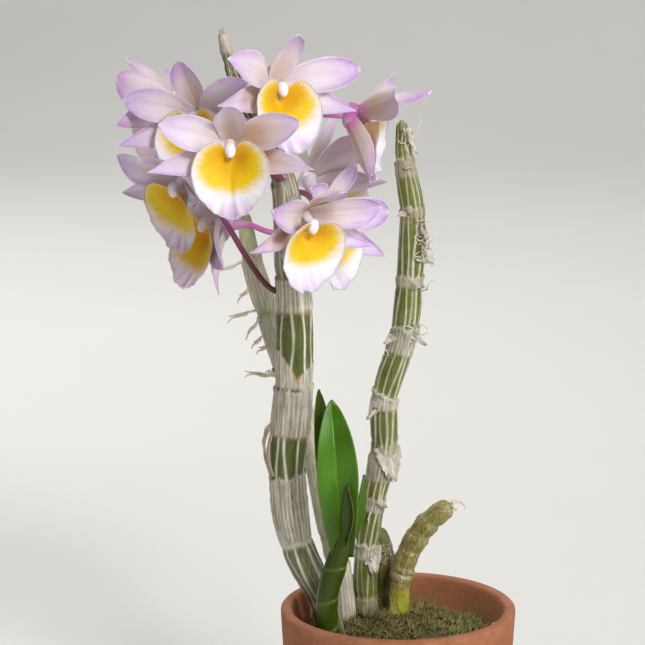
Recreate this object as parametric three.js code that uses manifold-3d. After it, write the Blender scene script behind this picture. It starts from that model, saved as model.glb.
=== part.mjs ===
// A dendrobium orchid in a small clay pot: bare jointed canes, ten blooms in one cluster, a leafy new growth.
// Millimetres, +Z up. The origin is the centre of the pot's underside, and the blooms' main side faces -Y.
import * as THREE from "three";
import { mergeVertices } from "three/addons/utils/BufferGeometryUtils.js";
import Module from "manifold-3d";

const wasm = await Module();
wasm.setup();

// ---------- driving dimensions ----------

const GAP = 0.35; // clearance between two pieces that touch

const POT = {
  height: 60,
  footRadius: 22,
  waistRadius: 29.5, // outside, just under the collar
  collarRadius: 33.6,
  collarHeight: 15,
  wall: 3.2,
  floor: 4,
  sides: 32,
  drainRadius: 3.2,
  drainCircle: 11,
  drains: 3,
  edge: 0.8, // rounding of the foot and the rim
};

const MOSS = {
  level: 50,
  mound: { x: -7, y: 7, height: 3.4, spread: 260 }, // rises towards the canes' feet
  tuft: 0.55,
  gap: 0.6, // clear of the pot's wall
  hem: 1.2, // how far the rim sinks
  rings: 4,
};

// A petal or sepal springs from `root`. Its tip lies at `angle` from the top of the bloom, `reach` from the
// bloom's centre, leaning forward by `cup`. `arch` bows the middle of the blade forward.
const TEPAL = {
  dorsal: {
    root: [0, 0.8, -1],
    angle: 0,
    reach: 17.4,
    arch: -1.6,
    shape: { width: 8.6, base: 0.5, peak: 0.55, point: 2.3 },
  },
  petal: {
    root: [0.8, 0.3, -1],
    angle: 75,
    cup: 22,
    reach: 20.8,
    arch: 1.2,
    shape: { width: 9.4, base: 0.34, peak: 0.56, point: 2.1 },
  },
  sepal: {
    root: [0.9, -3, -3.6],
    angle: 109,
    cup: 15,
    reach: 23.8,
    arch: 0.8,
    shape: { width: 7.6, base: 0.66, peak: 0.4, point: 1.6 },
  },
};
const TEPAL_MESH = { steps: 5, columns: 2, thickness: 0.8, hollow: 0.2 };

const LIP = {
  radius: [10.2, 10.6], // across, along
  centre: [0, -9.5, 5.3], // in the bloom's own frame: right, up, forward
  dish: 3, // how far the rim stands forward of the middle
  heart: 0.16, // how much wider the upper half is than the lower
  throat: { y: 4.8, depth: 3.3, spread: 12 },
  cleft: { depth: 0.54, halfAngle: 11 }, // the column stands in it
  frill: 0.4,
  frills: 9,
  rings: 3,
  sectors: 18,
  thickness: 0.8,
};
const CLAW = { from: [0, -5.3, -1], to: [0, -6.6, 0.2], radius: 0.9 }; // joins the lip to the column's foot

const CORE = { centre: [0, -2, -3], radii: [2.3, 3.6, 3.2] }; // ovary's top and the chin below the column
const COLUMN = { start: [0, 0, -1.4], length: 5.6, radius: 1.4, drop: 30 };
const PEDICEL = { start: [0, -1.6, -4.6], radius: 0.95, sides: 5, steps: 7 };

// A cane swells between its nodes, each place there being [share of the way, share of the radius]. A papery
// sheath covers the upper part and ends at a small step.
const SHEATHED = [
  [0, 0.93],
  [0.44, 1.05],
  [0.48, 1.14],
  [0.84, 1.11],
];
const BARE = [
  [0, 0.92],
  [0.3, 1.07],
  [0.72, 1.08],
];

const RIDGE = 0.03; // share of a cane's radius by which its long veins stand out
const FLAP = { bow: 0.16, thickness: 0.8, hollow: -0.25, steps: 3, columns: 2 };
const FLAP_SHAPE = { base: 0.8, peak: 0.3, point: 1.8 };
const AIR_ROOT = { radii: [0.7, 0.6, 0.55, 0.5, 0.4], bow: 1.6, sides: 4 };

// Each cane is a chain of nodes [x, y, z, radius].
const CANES = {
  flowering: {
    sides: 12,
    between: SHEATHED,
    nodes: [
      [-16.5, 2, 42, 3.0],
      [-21.5, 1, 61, 3.5],
      [-29.1, 0, 79, 4.4],
      [-31.5, 0, 98.7, 5.0],
      [-29.6, 0, 126, 5.2],
      [-30.0, 0, 155, 4.7],
      [-33.0, 2, 184, 3.1],
      [-41.6, 8.5, 198.5, 2.4],
      [-47.2, 11.5, 213, 1.7],
      [-49.8, 12, 223, 0.7],
    ],
    flaps: [
      { node: 3, turn: 200, length: 15, width: 4.6, lean: 12 },
      { node: 1, turn: 215, length: 9, width: 4.4, lean: 20 },
    ],
  },
  rear: {
    sides: 10,
    between: SHEATHED,
    nodes: [
      [-14.2, 9.6, 42, 2.4],
      [-15.7, 9, 61.7, 2.9],
      [-18.8, 10.5, 76, 3.3],
      [-23.8, 13.5, 101, 3.2],
      [-31, 15.5, 123, 3.2],
      [-37.7, 17, 143.2, 3.0],
      [-42, 18, 158, 2.6],
      [-44, 18.5, 171, 1.6],
    ],
    flaps: [{ node: 4, turn: 170, length: 5, width: 3, lean: 50 }],
    roots: [
      { node: 6, turn: 185, length: 9, rise: -2.5 },
      { node: 5, turn: 200, length: 11, rise: -4 },
      { node: 4, turn: 175, length: 12, rise: 0.5 },
    ],
  },
  right: {
    sides: 10,
    between: SHEATHED,
    nodes: [
      [-8, 12.6, 42, 3.0],
      [-9, 12, 57.7, 3.3],
      [-9, 12, 72.5, 3.1],
      [-6.7, 12, 87.8, 3.0],
      [-4.1, 12, 103.5, 3.7],
      [-3.7, 12, 118.6, 3.7],
      [1.4, 12, 136.5, 3.6],
      [3.0, 13, 151, 3.7],
      [3.7, 13, 171.7, 3.5],
      [1.6, 13.8, 185.1, 2.6],
      [0.6, 16.4, 197.4, 1.3],
    ],
    flaps: [
      { node: 2, turn: 305, length: 7, width: 5.4, lean: -22 },
      { node: 4, turn: 325, length: 7.5, width: 5.6, lean: -18 },
      { node: 5, turn: 195, length: 5, width: 4.6, lean: -35 },
      { node: 6, turn: 345, length: 5.5, width: 4.2, lean: -60 },
      { node: 8, turn: 330, length: 6, width: 4.6, lean: -35 },
      { node: 9, turn: 350, length: 4.5, width: 4, lean: -35 },
    ],
  },
  stub: {
    sides: 10,
    between: BARE,
    nodes: [
      [0.2, 11.6, 42, 2.4],
      [0.8, 11, 62.2, 2.8],
      [1.4, 11, 66.6, 3.1],
      [3.1, 10, 72.5, 3.2],
      [7, 9, 79.7, 3.2],
      [10.1, 8, 83.5, 3.1],
      [15.2, 6.4, 88, 2.4],
    ],
    flaps: [{ node: 6, turn: 0, length: 3.6, width: 1.4, lean: -50 }],
  },
  dark_stub: {
    sides: 10,
    between: BARE,
    nodes: [
      [-2.8, 18.8, 42, 2.5],
      [-3, 18.8, 58, 2.9],
      [-3.5, 18.8, 69, 3.1],
      [-5.4, 18.8, 78, 1.7],
    ],
  },
};

// The new growth: a sheathed stem and its leaves, each a line of points from base to tip.
const SHOOT = {
  stem: [
    [-19.2, -13.2, 44, 2.5],
    [-19.9, -14.6, 57, 2.9],
    [-20.4, -15, 66, 2.9],
    [-18.2, -15, 75.5, 3.0],
    [-16.2, -15, 82, 2.7],
    [-15.4, -15, 86.5, 1.6],
  ],
  leaves: [
    {
      line: [[-16, -15, 79], [-17.2, -17, 96], [-18, -17, 110], [-19.1, -14.6, 123.8]],
      width: 11.4,
      face: [0.1, -1, 0],
      fold: 0.22,
    },
    {
      line: [[-15.4, -15, 80], [-12.3, -12.6, 90], [-9.9, -11.6, 101.6]],
      width: 3.8,
      face: [0.8, -0.6, 0.2],
      fold: 0.4,
    },
    {
      line: [[-15.2, -15.6, 82], [-13.4, -18.6, 92], [-14.6, -19.6, 101]],
      width: 4,
      face: [-0.7, -0.7, 0],
      fold: 0.4,
    },
    {
      line: [[-16.4, -14.2, 80], [-19.5, -9, 100], [-22.6, -7, 125]],
      width: 6.6,
      face: [-0.2, -1, 0],
      fold: 0.2,
    },
  ],
  leafMesh: { steps: 8, columns: 2, thickness: 0.9 },
};

// Blooms: where the centre is and how it is turned (yaw 0 looks along -Y, positive to +X; pitch up; roll
// clockwise), how far the dorsal sepal leans over, and the height and side of the flowering cane where its
// stalk starts. Some have tepals that droop, reach further or turn about their own length (leans), a lip
// twisted on its claw (lip) or a stalk that leaves another way (arc).
const BLOOMS = {
  front: { centre: [-46, -34, 198.3], yaw: 1, pitch: 10, roll: -1, dorsalCup: 57, node: 183, side: 262 },
  top: {
    centre: [-34.3, -16, 211.6],
    yaw: 34,
    pitch: 16,
    roll: 6,
    dorsalCup: 52,
    node: 196,
    side: 300,
    leans: { petalRight: { angle: 6, cup: 20, reach: 24.5 } },
  },
  right: {
    centre: [-10.9, -1.5, 202.5],
    yaw: 80,
    pitch: -8,
    roll: -15,
    dorsalCup: 66,
    node: 192,
    side: 340,
    leans: {
      dorsal: { reach: 20.5 },
      petalRight: { cup: 15 },
      petalLeft: { angle: -26, cup: 34, roll: -18 },
      sepalLeft: { angle: 14, cup: 19, roll: 32 },
    },
    lip: { yaw: 2, roll: 9 },
  },
  upper_left: {
    centre: [-56.3, 2, 201],
    yaw: -21,
    pitch: 18,
    roll: -10,
    dorsalCup: 46,
    node: 193,
    side: 235,
  },
  far_left: { centre: [-64.5, 17, 204], yaw: -114, pitch: -2, roll: -5, dorsalCup: 53, node: 198, side: 175 },
  left: {
    centre: [-59.8, -17, 186.2],
    yaw: -50,
    pitch: -20,
    roll: 7,
    dorsalCup: 46,
    node: 151,
    side: 192,
    leans: { sepalRight: { angle: -24, cup: 25, reach: 20 }, petalLeft: { cup: 20 } },
    lip: { yaw: 0, roll: -5 },
    arc: { lift: -11 },
  },
  low_left: {
    centre: [-51, -3, 172.2],
    yaw: -62,
    pitch: 12,
    roll: 8,
    dorsalCup: 12,
    node: 168,
    side: 212,
    leans: {
      dorsal: { angle: -22 },
      sepalRight: { angle: 44, cup: -2, reach: 21, roll: 24 },
      petalRight: { angle: 40, cup: 10, roll: 20 },
    },
    lip: { yaw: 8, roll: 0 },
    arc: { lift: 4 },
  },
  low_right: { centre: [-25.8, -28, 178], yaw: 38, pitch: -14, roll: 4, dorsalCup: 47, node: 164, side: 285 },
  low_right_rear: {
    centre: [-20.8, -0.2, 172.4],
    yaw: 53,
    pitch: 6,
    roll: 17,
    dorsalCup: 30,
    node: 159,
    side: 15,
    arc: { back: 2 },
  },
  back: {
    centre: [-23.7, 21, 181.6],
    yaw: 132,
    pitch: 28,
    roll: 9,
    dorsalCup: 56,
    node: 178,
    side: 30,
    arc: { back: 4, lift: -8 },
  },
};

// ---------- materials ----------

const material = (name, color, roughness) =>
  Object.assign(new THREE.MeshStandardMaterial({ color, roughness, metalness: 0 }), { name });

const CLAY = material("fired clay", 0xb56a48, 0.85);
const MOSS_GREEN = material("moss", 0x5a5a2c, 0.95);
const CANE_GREEN = material("cane with papery sheaths", 0x8e8f5e, 0.6);
const OLD_CANE = material("old bare cane", 0x8a8430, 0.6);
const LEAF_GREEN = material("leaf", 0x3f8a1e, 0.35);
const PETAL_LILAC = material("petal", 0xe6cfe6, 0.5);
const LIP_YELLOW = material("lip", 0xf3cf3a, 0.6);

// ---------- solids ----------

const point = ([x, y, z]) => new THREE.Vector3(x, y, z);
const radians = THREE.MathUtils.degToRad;

function solidOf(geometry) {
  const bare = geometry.index ? geometry.toNonIndexed() : geometry.clone();
  bare.deleteAttribute("normal");
  bare.deleteAttribute("uv");
  const merged = mergeVertices(bare, 1e-4);
  return new wasm.Manifold(
    new wasm.Mesh({
      numProp: 3,
      vertProperties: merged.attributes.position.array,
      triVerts: new Uint32Array(merged.index.array),
    }),
  );
}

function geometryOf(solid) {
  const mesh = solid.getMesh();
  return new THREE.BufferGeometry()
    .setAttribute("position", new THREE.BufferAttribute(new Float32Array(mesh.vertProperties), 3))
    .setIndex(new THREE.BufferAttribute(new Uint32Array(mesh.triVerts), 1));
}

// The union of several closed geometries, without any loose scrap.
function fuse(geometries) {
  const whole = geometries.map(solidOf).reduce((a, b) => a.add(b));
  const bodies = whole.decompose().sort((a, b) => b.volume() - a.volume());
  return geometryOf(bodies[0]);
}

function cut(geometry, tools) {
  const left = tools.map(solidOf).reduce((a, b) => a.subtract(b), solidOf(geometry));
  const bodies = left.decompose().sort((a, b) => b.volume() - a.volume());
  return geometryOf(bodies[0]);
}

// A closed mesh from its vertices and faces.
function closedMesh(vertices, faces) {
  return new THREE.BufferGeometry().setFromPoints(vertices).setIndex(faces.flat());
}

// A tube round a line of centres, with a radius at each, closed by a fan at both ends.
function tube(centres, radii, sides, ridge = 0) {
  const vertices = [];
  const faces = [];
  let right = null;
  centres.forEach((centre, i) => {
    const before = centres[Math.max(i - 1, 0)];
    const after = centres[Math.min(i + 1, centres.length - 1)];
    const along = after.clone().sub(before).normalize();
    right ??= new THREE.Vector3(1, 0, 0).cross(along).cross(along).negate();
    if (right.lengthSq() < 0.01) right.set(0, 1, 0);
    right.addScaledVector(along, -right.dot(along)).normalize();
    const up = along.clone().cross(right);
    for (let k = 0; k < sides; k++) {
      const turn = (2 * Math.PI * k) / sides;
      const radius = radii[i] + (k % 2 ? -ridge : ridge);
      vertices.push(
        centre
          .clone()
          .addScaledVector(right, radius * Math.cos(turn))
          .addScaledVector(up, radius * Math.sin(turn)),
      );
    }
  });
  for (let i = 0; i + 1 < centres.length; i++)
    for (let k = 0; k < sides; k++) {
      const a = i * sides + k;
      const b = i * sides + ((k + 1) % sides);
      faces.push([a, b, b + sides], [a, b + sides, a + sides]);
    }
  const last = (centres.length - 1) * sides;
  const [start, end] = [vertices.length, vertices.length + 1];
  vertices.push(centres[0].clone(), centres.at(-1).clone());
  for (let k = 0; k < sides; k++) {
    const next = (k + 1) % sides;
    faces.push([start, next, k], [end, last + k, last + next]);
  }
  return closedMesh(vertices, faces);
}

// A ball with three radii, of few faces.
function ball({ centre, radii }, around = 6, up = 4) {
  return new THREE.SphereGeometry(1, around, up).scale(...radii).translate(...centre);
}

// Half the width of a blade, as a share, at s from its base (0) to its tip (1).
function outline(s, { base, peak, point: sharp }) {
  const TIP = 0.09; // a tip is never quite a point
  if (s < peak) return base + (1 - base) * Math.sin((Math.PI / 2) * (s / peak));
  const x = (s - peak) / (1 - peak);
  return Math.max(TIP, (1 - x ** sharp) ** (1.3 / sharp));
}

// A closed blade along a curve. `face` is the way its upper side looks, and its edges are raised by `hollow`.
function blade(curve, { width, face, hollow, thickness, steps, columns, ...shape }) {
  const tops = [];
  const bottoms = [];
  for (let i = 0; i <= steps; i++) {
    const s = i / steps;
    const centre = curve.getPoint(s);
    const along = curve.getTangent(s);
    const normal = face.clone().addScaledVector(along, -face.dot(along)).normalize();
    const side = along.clone().cross(normal);
    const half = (width / 2) * outline(s, shape);
    for (let j = 0; j <= columns; j++) {
      const t = (2 * j) / columns - 1;
      const middle = centre
        .clone()
        .addScaledVector(side, half * t)
        .addScaledVector(normal, hollow * half * t * t * 2);
      tops.push(middle.clone().addScaledVector(normal, thickness / 2));
      bottoms.push(middle.clone().addScaledVector(normal, -thickness / 2));
    }
  }
  const row = columns + 1;
  const under = tops.length;
  const faces = [];
  for (let i = 0; i < steps; i++)
    for (let j = 0; j < columns; j++) {
      const [a, b, c, d] = [i * row + j, i * row + j + 1, (i + 1) * row + j + 1, (i + 1) * row + j];
      faces.push([a, b, c], [a, c, d]);
      faces.push([under + a, under + c, under + b], [under + a, under + d, under + c]);
    }
  const rim = [];
  for (let j = 0; j < columns; j++) rim.push([j, j + 1]);
  for (let i = 0; i < steps; i++) rim.push([i * row + columns, (i + 1) * row + columns]);
  for (let j = columns; j > 0; j--) rim.push([steps * row + j, steps * row + j - 1]);
  for (let i = steps; i > 0; i--) rim.push([i * row, (i - 1) * row]);
  for (const [a, b] of rim) faces.push([a, under + a, under + b], [a, under + b, b]);
  return closedMesh([...tops, ...bottoms], faces);
}

// ---------- canes ----------

// Centres and radii of the rings along a cane.
function caneRings({ nodes, between }) {
  const curve = new THREE.CatmullRomCurve3(nodes.map(point), false, "centripetal");
  const spans = nodes.length - 1;
  const centres = [];
  const radii = [];
  for (let i = 0; i < spans; i++)
    for (const [place, share] of between) {
      centres.push(curve.getPoint((i + place) / spans));
      radii.push(share * THREE.MathUtils.lerp(nodes[i][3], nodes[i + 1][3], place));
    }
  centres.push(point(nodes.at(-1)));
  radii.push(nodes.at(-1)[3]);
  return { centres, radii };
}

// The level direction that points away from a cane at a turn in degrees, 0 along +X and 270 towards -Y.
const outward = (turn) => new THREE.Vector3(Math.cos(radians(turn)), Math.sin(radians(turn)), 0);

// A torn piece of papery sheath that stands off a node.
function sheathFlap(cane, { node, turn, length, width, lean }) {
  const [x, y, z, radius] = cane.nodes[node];
  const away = outward(turn);
  const root = new THREE.Vector3(x, y, z).addScaledVector(away, radius * 0.7);
  const down = lean < 0 ? -1 : 1;
  const tip = root
    .clone()
    .addScaledVector(away, radius * 0.35 + length * Math.sin(radians(Math.abs(lean))))
    .add(new THREE.Vector3(0, 0, down * length * Math.cos(radians(lean))));
  const bow = root.clone().lerp(tip, 0.5).addScaledVector(away, length * FLAP.bow);
  const curve = new THREE.QuadraticBezierCurve3(root, bow, tip);
  return blade(curve, { ...FLAP, ...FLAP_SHAPE, width, face: away });
}

// A bare air root that leaves a node and hangs a little.
function airRoot(cane, { node, turn, length, rise }) {
  const [x, y, z, radius] = cane.nodes[node];
  const away = outward(turn);
  const root = new THREE.Vector3(x, y, z).addScaledVector(away, radius * 0.4);
  const tip = root.clone().addScaledVector(away, length).add(new THREE.Vector3(0, 0, rise));
  const bow = root.clone().lerp(tip, 0.5).add(new THREE.Vector3(0, 0, AIR_ROOT.bow));
  const curve = new THREE.QuadraticBezierCurve3(root, bow, tip);
  return tube(curve.getPoints(AIR_ROOT.radii.length - 1), AIR_ROOT.radii, AIR_ROOT.sides);
}

function caneGeometry(cane, grow = 0) {
  const { centres, radii } = caneRings(cane);
  return tube(centres, radii.map((r) => r + grow), cane.sides, grow ? 0 : RIDGE * radii[1]);
}

function dressedCane(cane) {
  const flaps = (cane.flaps ?? []).map((flap) => sheathFlap(cane, flap));
  const roots = (cane.roots ?? []).map((root) => airRoot(cane, root));
  return fuse([caneGeometry(cane), ...flaps, ...roots]);
}

// The seat just off a cane's surface at a height and turn, and the way out from the cane there.
function caneSeat(cane, height, turn) {
  const { centres, radii } = caneRings(cane);
  const i = centres.findIndex((c) => c.z > height) - 1;
  const along = centres[i + 1].clone().sub(centres[i]);
  const share = (height - centres[i].z) / along.z;
  const radius = Math.max(radii[i], radii[i + 1]);
  along.normalize();
  const away = outward(turn);
  away.addScaledVector(along, -away.dot(along)).normalize();
  const seat = centres[i].clone().lerp(centres[i + 1], share).addScaledVector(away, radius + GAP);
  return { seat, away };
}

// ---------- new growth ----------

function shootGeometry(grow = 0) {
  const { stem, leaves, leafMesh } = SHOOT;
  const stemTube = tube(stem.map(point), stem.map((n) => n[3] + grow), 10);
  if (grow) return stemTube;
  const blades = leaves.map(({ line, width, face, fold }) =>
    blade(new THREE.CatmullRomCurve3(line.map(point), false, "centripetal"), {
      ...leafMesh,
      width,
      face: point(face).normalize(),
      hollow: fold,
      base: 0.5,
      peak: 0.5,
      point: 1.9,
    }),
  );
  return fuse([stemTube, ...blades]);
}

// ---------- blooms, in their own frame: +X right, +Y up, +Z the way they face ----------

function tepal(kind, hand, lean = {}) {
  const { root, angle, arch, shape, ...plain } = TEPAL[kind];
  const turn = radians(angle + (lean.angle ?? 0)) * hand;
  const cupped = radians(lean.cup ?? plain.cup);
  const reach = lean.reach ?? plain.reach;
  const from = point(root).multiply(new THREE.Vector3(hand, 1, 1));
  const tip = new THREE.Vector3(
    reach * Math.sin(turn) * Math.cos(cupped),
    reach * Math.cos(turn) * Math.cos(cupped),
    reach * Math.sin(cupped),
  );
  const along = tip.clone().sub(from).normalize();
  const front = new THREE.Vector3(0, 0, 1);
  const face = front.addScaledVector(along, -front.dot(along)).normalize();
  face.applyAxisAngle(along, radians(lean.roll ?? 0) * hand);
  const bow = from.clone().lerp(tip, 0.5).addScaledVector(face, 2 * arch);
  return blade(new THREE.QuadraticBezierCurve3(from, bow, tip), { ...TEPAL_MESH, ...shape, face });
}

function columnGeometry() {
  const { start, length, radius, drop } = COLUMN;
  const way = new THREE.Vector3(0, -Math.sin(radians(drop)), Math.cos(radians(drop)));
  const rings = [
    [0, 0.95],
    [0.8, 1],
    [1, 0.55],
  ];
  return tube(
    rings.map(([share]) => point(start).addScaledVector(way, share * length)),
    rings.map(([, share]) => share * radius),
    6,
  );
}

// The stalk from behind the bloom's centre to its seat on the cane, which is given in the bloom's frame.
function pedicelGeometry(seat, away, { back, lift, reach }) {
  const { start, radius, sides, steps } = PEDICEL;
  const curve = new THREE.CubicBezierCurve3(
    point(start),
    point(start).add(new THREE.Vector3(0, lift, -back)),
    seat.clone().addScaledVector(away, reach),
    seat,
  );
  return tube(curve.getPoints(steps), Array(steps + 1).fill(radius), sides);
}

// The lip's edge as a share of its radius: a cleft at the top.
function lipEdge(turn) {
  const fromTop = Math.atan2(Math.sin(turn - Math.PI / 2), Math.cos(turn - Math.PI / 2));
  return 1 - LIP.cleft.depth * Math.exp(-((fromTop / radians(LIP.cleft.halfAngle)) ** 2));
}

// A point of the lip: a shallow dish with a deep throat under the column and a frilled lower rim.
function lipPoint(share, turn) {
  const { radius, heart, dish, throat, frill, frills } = LIP;
  const out = share * lipEdge(turn);
  const x = radius[0] * out * Math.cos(turn) * (1 + heart * Math.sin(turn));
  const y = radius[1] * out * Math.sin(turn);
  const hem = 0.35 + 0.65 * Math.max(0, -Math.sin(turn));
  const wave = frill * hem * Math.sin(frills * turn) * share ** 4;
  const hollow = throat.depth * Math.exp(-(x * x + (y - throat.y) ** 2) / throat.spread);
  return new THREE.Vector3(x, y, dish * (out * out - 0.6) + wave - hollow);
}

function lipGeometry() {
  const { rings, sectors, thickness, centre } = LIP;
  const tops = [lipPoint(0, 0)];
  for (let r = 1; r <= rings; r++)
    for (let k = 0; k < sectors; k++)
      tops.push(lipPoint((r / rings) ** 0.85, (2 * Math.PI * (k + 0.5)) / sectors));
  const under = tops.length;
  const bottoms = tops.map((p) => p.clone().add(new THREE.Vector3(0, 0, -thickness)));
  const faces = [];
  const both = (a, b, c) => faces.push([a, b, c], [under + a, under + c, under + b]);
  for (let k = 0; k < sectors; k++) {
    const next = (k + 1) % sectors;
    both(0, 1 + k, 1 + next);
    for (let r = 0; r + 1 < rings; r++) {
      const [a, b] = [1 + r * sectors + k, 1 + r * sectors + next];
      both(a, a + sectors, b + sectors);
      both(a, b + sectors, b);
    }
    const [a, b] = [1 + (rings - 1) * sectors + k, 1 + (rings - 1) * sectors + next];
    faces.push([a, under + a, under + b], [a, under + b, b]);
  }
  const plate = closedMesh([...tops, ...bottoms], faces).translate(...centre);
  const claw = tube([point(CLAW.from), point(CLAW.to)], [CLAW.radius, CLAW.radius], 5);
  return fuse([plate, claw]).translate(...point(CLAW.from).negate());
}

function bloomGroup(name, bloom) {
  const { centre, yaw, pitch, roll, dorsalCup, node, side, leans = {}, lip = {}, arc = {} } = bloom;
  const [y, p, r] = [yaw, pitch, roll].map(radians);
  const facing = new THREE.Vector3(Math.sin(y) * Math.cos(p), -Math.cos(y) * Math.cos(p), Math.sin(p));
  const level = new THREE.Vector3(Math.cos(y), Math.sin(y), 0);
  const rise = facing.clone().cross(level);
  const up = rise.clone().multiplyScalar(Math.cos(r)).addScaledVector(level, Math.sin(r));
  const right = level.clone().multiplyScalar(Math.cos(r)).addScaledVector(rise, -Math.sin(r));
  const group = new THREE.Group();
  group.position.set(...centre);
  group.quaternion.setFromRotationMatrix(new THREE.Matrix4().makeBasis(right, up, facing));
  group.updateMatrixWorld(true);

  const { seat, away } = caneSeat(CANES.flowering, node, side);
  group.worldToLocal(seat);
  away.applyQuaternion(group.quaternion.clone().invert());
  const body = fuse([
    ball(CORE),
    columnGeometry(),
    tepal("dorsal", 1, { cup: dorsalCup, ...leans.dorsal }),
    tepal("petal", 1, leans.petalRight),
    tepal("petal", -1, leans.petalLeft),
    tepal("sepal", 1, leans.sepalRight),
    tepal("sepal", -1, leans.sepalLeft),
    pedicelGeometry(seat, away, { back: 8, lift: 0, reach: 6, ...arc }),
  ]);
  group.add(named(`bloom_${name}`, body, PETAL_LILAC));
  const lipMesh = named(`bloom_${name}_lip`, lipGeometry(), LIP_YELLOW);
  lipMesh.position.set(...CLAW.from);
  lipMesh.rotation.set(0, radians(lip.yaw ?? 0), radians(lip.roll ?? 0));
  group.add(lipMesh);
  return group;
}

// ---------- pot and moss ----------

// Radius of the pot's inside at a height.
function potInside(z) {
  const { height, footRadius, collarRadius, wall, floor } = POT;
  return THREE.MathUtils.lerp(footRadius - wall, collarRadius - wall, (z - floor) / (height - floor));
}

function potGeometry() {
  const { height, footRadius, waistRadius, collarRadius, collarHeight, floor, edge, sides } = POT;
  const collarFoot = height - collarHeight;
  const profile = [
    [0, 0],
    [footRadius - edge, 0],
    [footRadius, edge],
    [waistRadius, collarFoot],
    [collarRadius - 2 * edge, collarFoot],
    [collarRadius - edge, collarFoot + edge],
    [collarRadius, height - edge],
    [collarRadius - edge, height],
    [potInside(height) + edge, height],
    [potInside(height - edge), height - edge],
    [potInside(floor), floor],
    [0, floor],
  ].map(([r, z]) => new THREE.Vector2(r, z));
  const shell = new THREE.LatheGeometry(profile, sides).rotateX(Math.PI / 2);
  const drains = Array.from({ length: POT.drains }, (_, i) => {
    const turn = (2 * Math.PI * (i + 0.25)) / POT.drains;
    return new THREE.CylinderGeometry(POT.drainRadius, POT.drainRadius, 3 * floor, 12)
      .rotateX(Math.PI / 2)
      .translate(POT.drainCircle * Math.cos(turn), POT.drainCircle * Math.sin(turn), floor / 2);
  });
  return cut(shell, drains);
}

// The moss top: a low mound with tufts, raised by a formula.
function mossTop(x, y) {
  const { level, mound, tuft } = MOSS;
  const rise = mound.height * Math.exp(-((x - mound.x) ** 2 + (y - mound.y) ** 2) / mound.spread);
  const tufts = tuft * (Math.sin(0.9 * x + 1.3 * y) + Math.sin(1.7 * x - 0.8 * y + 2));
  return level + rise + tufts;
}

function mossGeometry() {
  const { level, rings, gap, hem } = MOSS;
  const { sides, floor } = POT;
  const vertices = [new THREE.Vector3(0, 0, mossTop(0, 0))];
  const faces = [];
  const rim = potInside(level - hem) - gap;
  const turnOf = (k) => (2 * Math.PI * k) / sides;
  for (let r = 1; r <= rings; r++)
    for (let k = 0; k < sides; k++) {
      const x = ((rim * r) / rings) * Math.cos(turnOf(k));
      const y = ((rim * r) / rings) * Math.sin(turnOf(k));
      vertices.push(new THREE.Vector3(x, y, mossTop(x, y) - (r === rings ? hem : 0)));
    }
  const foot = potInside(floor + GAP) - gap;
  for (let k = 0; k < sides; k++)
    vertices.push(new THREE.Vector3(foot * Math.cos(turnOf(k)), foot * Math.sin(turnOf(k)), floor + GAP));
  vertices.push(new THREE.Vector3(0, 0, floor + GAP));
  const bottom = vertices.length - 1;
  for (let k = 0; k < sides; k++) {
    const next = (k + 1) % sides;
    faces.push([0, 1 + k, 1 + next]);
    for (let r = 0; r < rings; r++) {
      const [a, b] = [1 + r * sides + k, 1 + r * sides + next];
      faces.push([a, a + sides, b + sides], [a, b + sides, b]);
    }
    const last = 1 + rings * sides;
    faces.push([bottom, last + next, last + k]);
  }
  const holes = [...Object.values(CANES).map((cane) => caneGeometry(cane, GAP)), shootGeometry(GAP)];
  return cut(closedMesh(vertices, faces), holes);
}

// ---------- assembly ----------

function named(name, geometry, look) {
  const mesh = new THREE.Mesh(geometry, look);
  mesh.name = name;
  return mesh;
}

const orchid = new THREE.Group();
orchid.add(named("pot", potGeometry(), CLAY));
orchid.add(named("moss", mossGeometry(), MOSS_GREEN));
for (const [name, cane] of Object.entries(CANES))
  orchid.add(named(`cane_${name}`, dressedCane(cane), name.includes("stub") ? OLD_CANE : CANE_GREEN));
orchid.add(named("new_growth", shootGeometry(), LEAF_GREEN));
for (const [name, bloom] of Object.entries(BLOOMS)) orchid.add(bloomGroup(name, bloom));

export default orchid;
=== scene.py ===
"""A dendrobium orchid in a small clay pot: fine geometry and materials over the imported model."""

import math
import random

import bmesh
import bpy
from mathutils import Matrix, Quaternion, Vector, noise


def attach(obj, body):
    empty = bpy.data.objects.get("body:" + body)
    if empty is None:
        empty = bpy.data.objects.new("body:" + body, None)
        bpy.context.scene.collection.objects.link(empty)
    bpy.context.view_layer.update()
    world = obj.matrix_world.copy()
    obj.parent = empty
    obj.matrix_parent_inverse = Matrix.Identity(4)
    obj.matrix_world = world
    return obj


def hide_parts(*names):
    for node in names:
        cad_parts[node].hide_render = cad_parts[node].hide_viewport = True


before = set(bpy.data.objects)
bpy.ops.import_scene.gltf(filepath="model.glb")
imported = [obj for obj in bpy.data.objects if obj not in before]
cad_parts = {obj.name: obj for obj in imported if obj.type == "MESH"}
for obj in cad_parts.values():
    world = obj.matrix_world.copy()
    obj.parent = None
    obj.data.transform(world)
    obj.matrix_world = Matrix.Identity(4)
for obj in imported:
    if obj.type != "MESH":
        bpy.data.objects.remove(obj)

bl_info = {
    "name": "Potted dendrobium orchid",
    "version": (1, 0, 0),
    "blender": (4, 5, 0),
    "location": "View3D > Sidebar > Orchid",
    "description": "Builds a flowering dendrobium in a clay pot, piece by piece",
    "category": "Object",
}

MM = 0.001  # the data below is in millimetres, and the scene in metres
TURN = 2 * math.pi
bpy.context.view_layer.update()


def linear(text):
    """An sRGB hex colour as a linear RGBA colour."""
    shares = [int(text[i : i + 2], 16) / 255 for i in (1, 3, 5)]
    return tuple(c / 12.92 if c <= 0.04045 else ((c + 0.055) / 1.055) ** 2.4 for c in shares) + (1.0,)


# ---------- settings ----------


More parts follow.
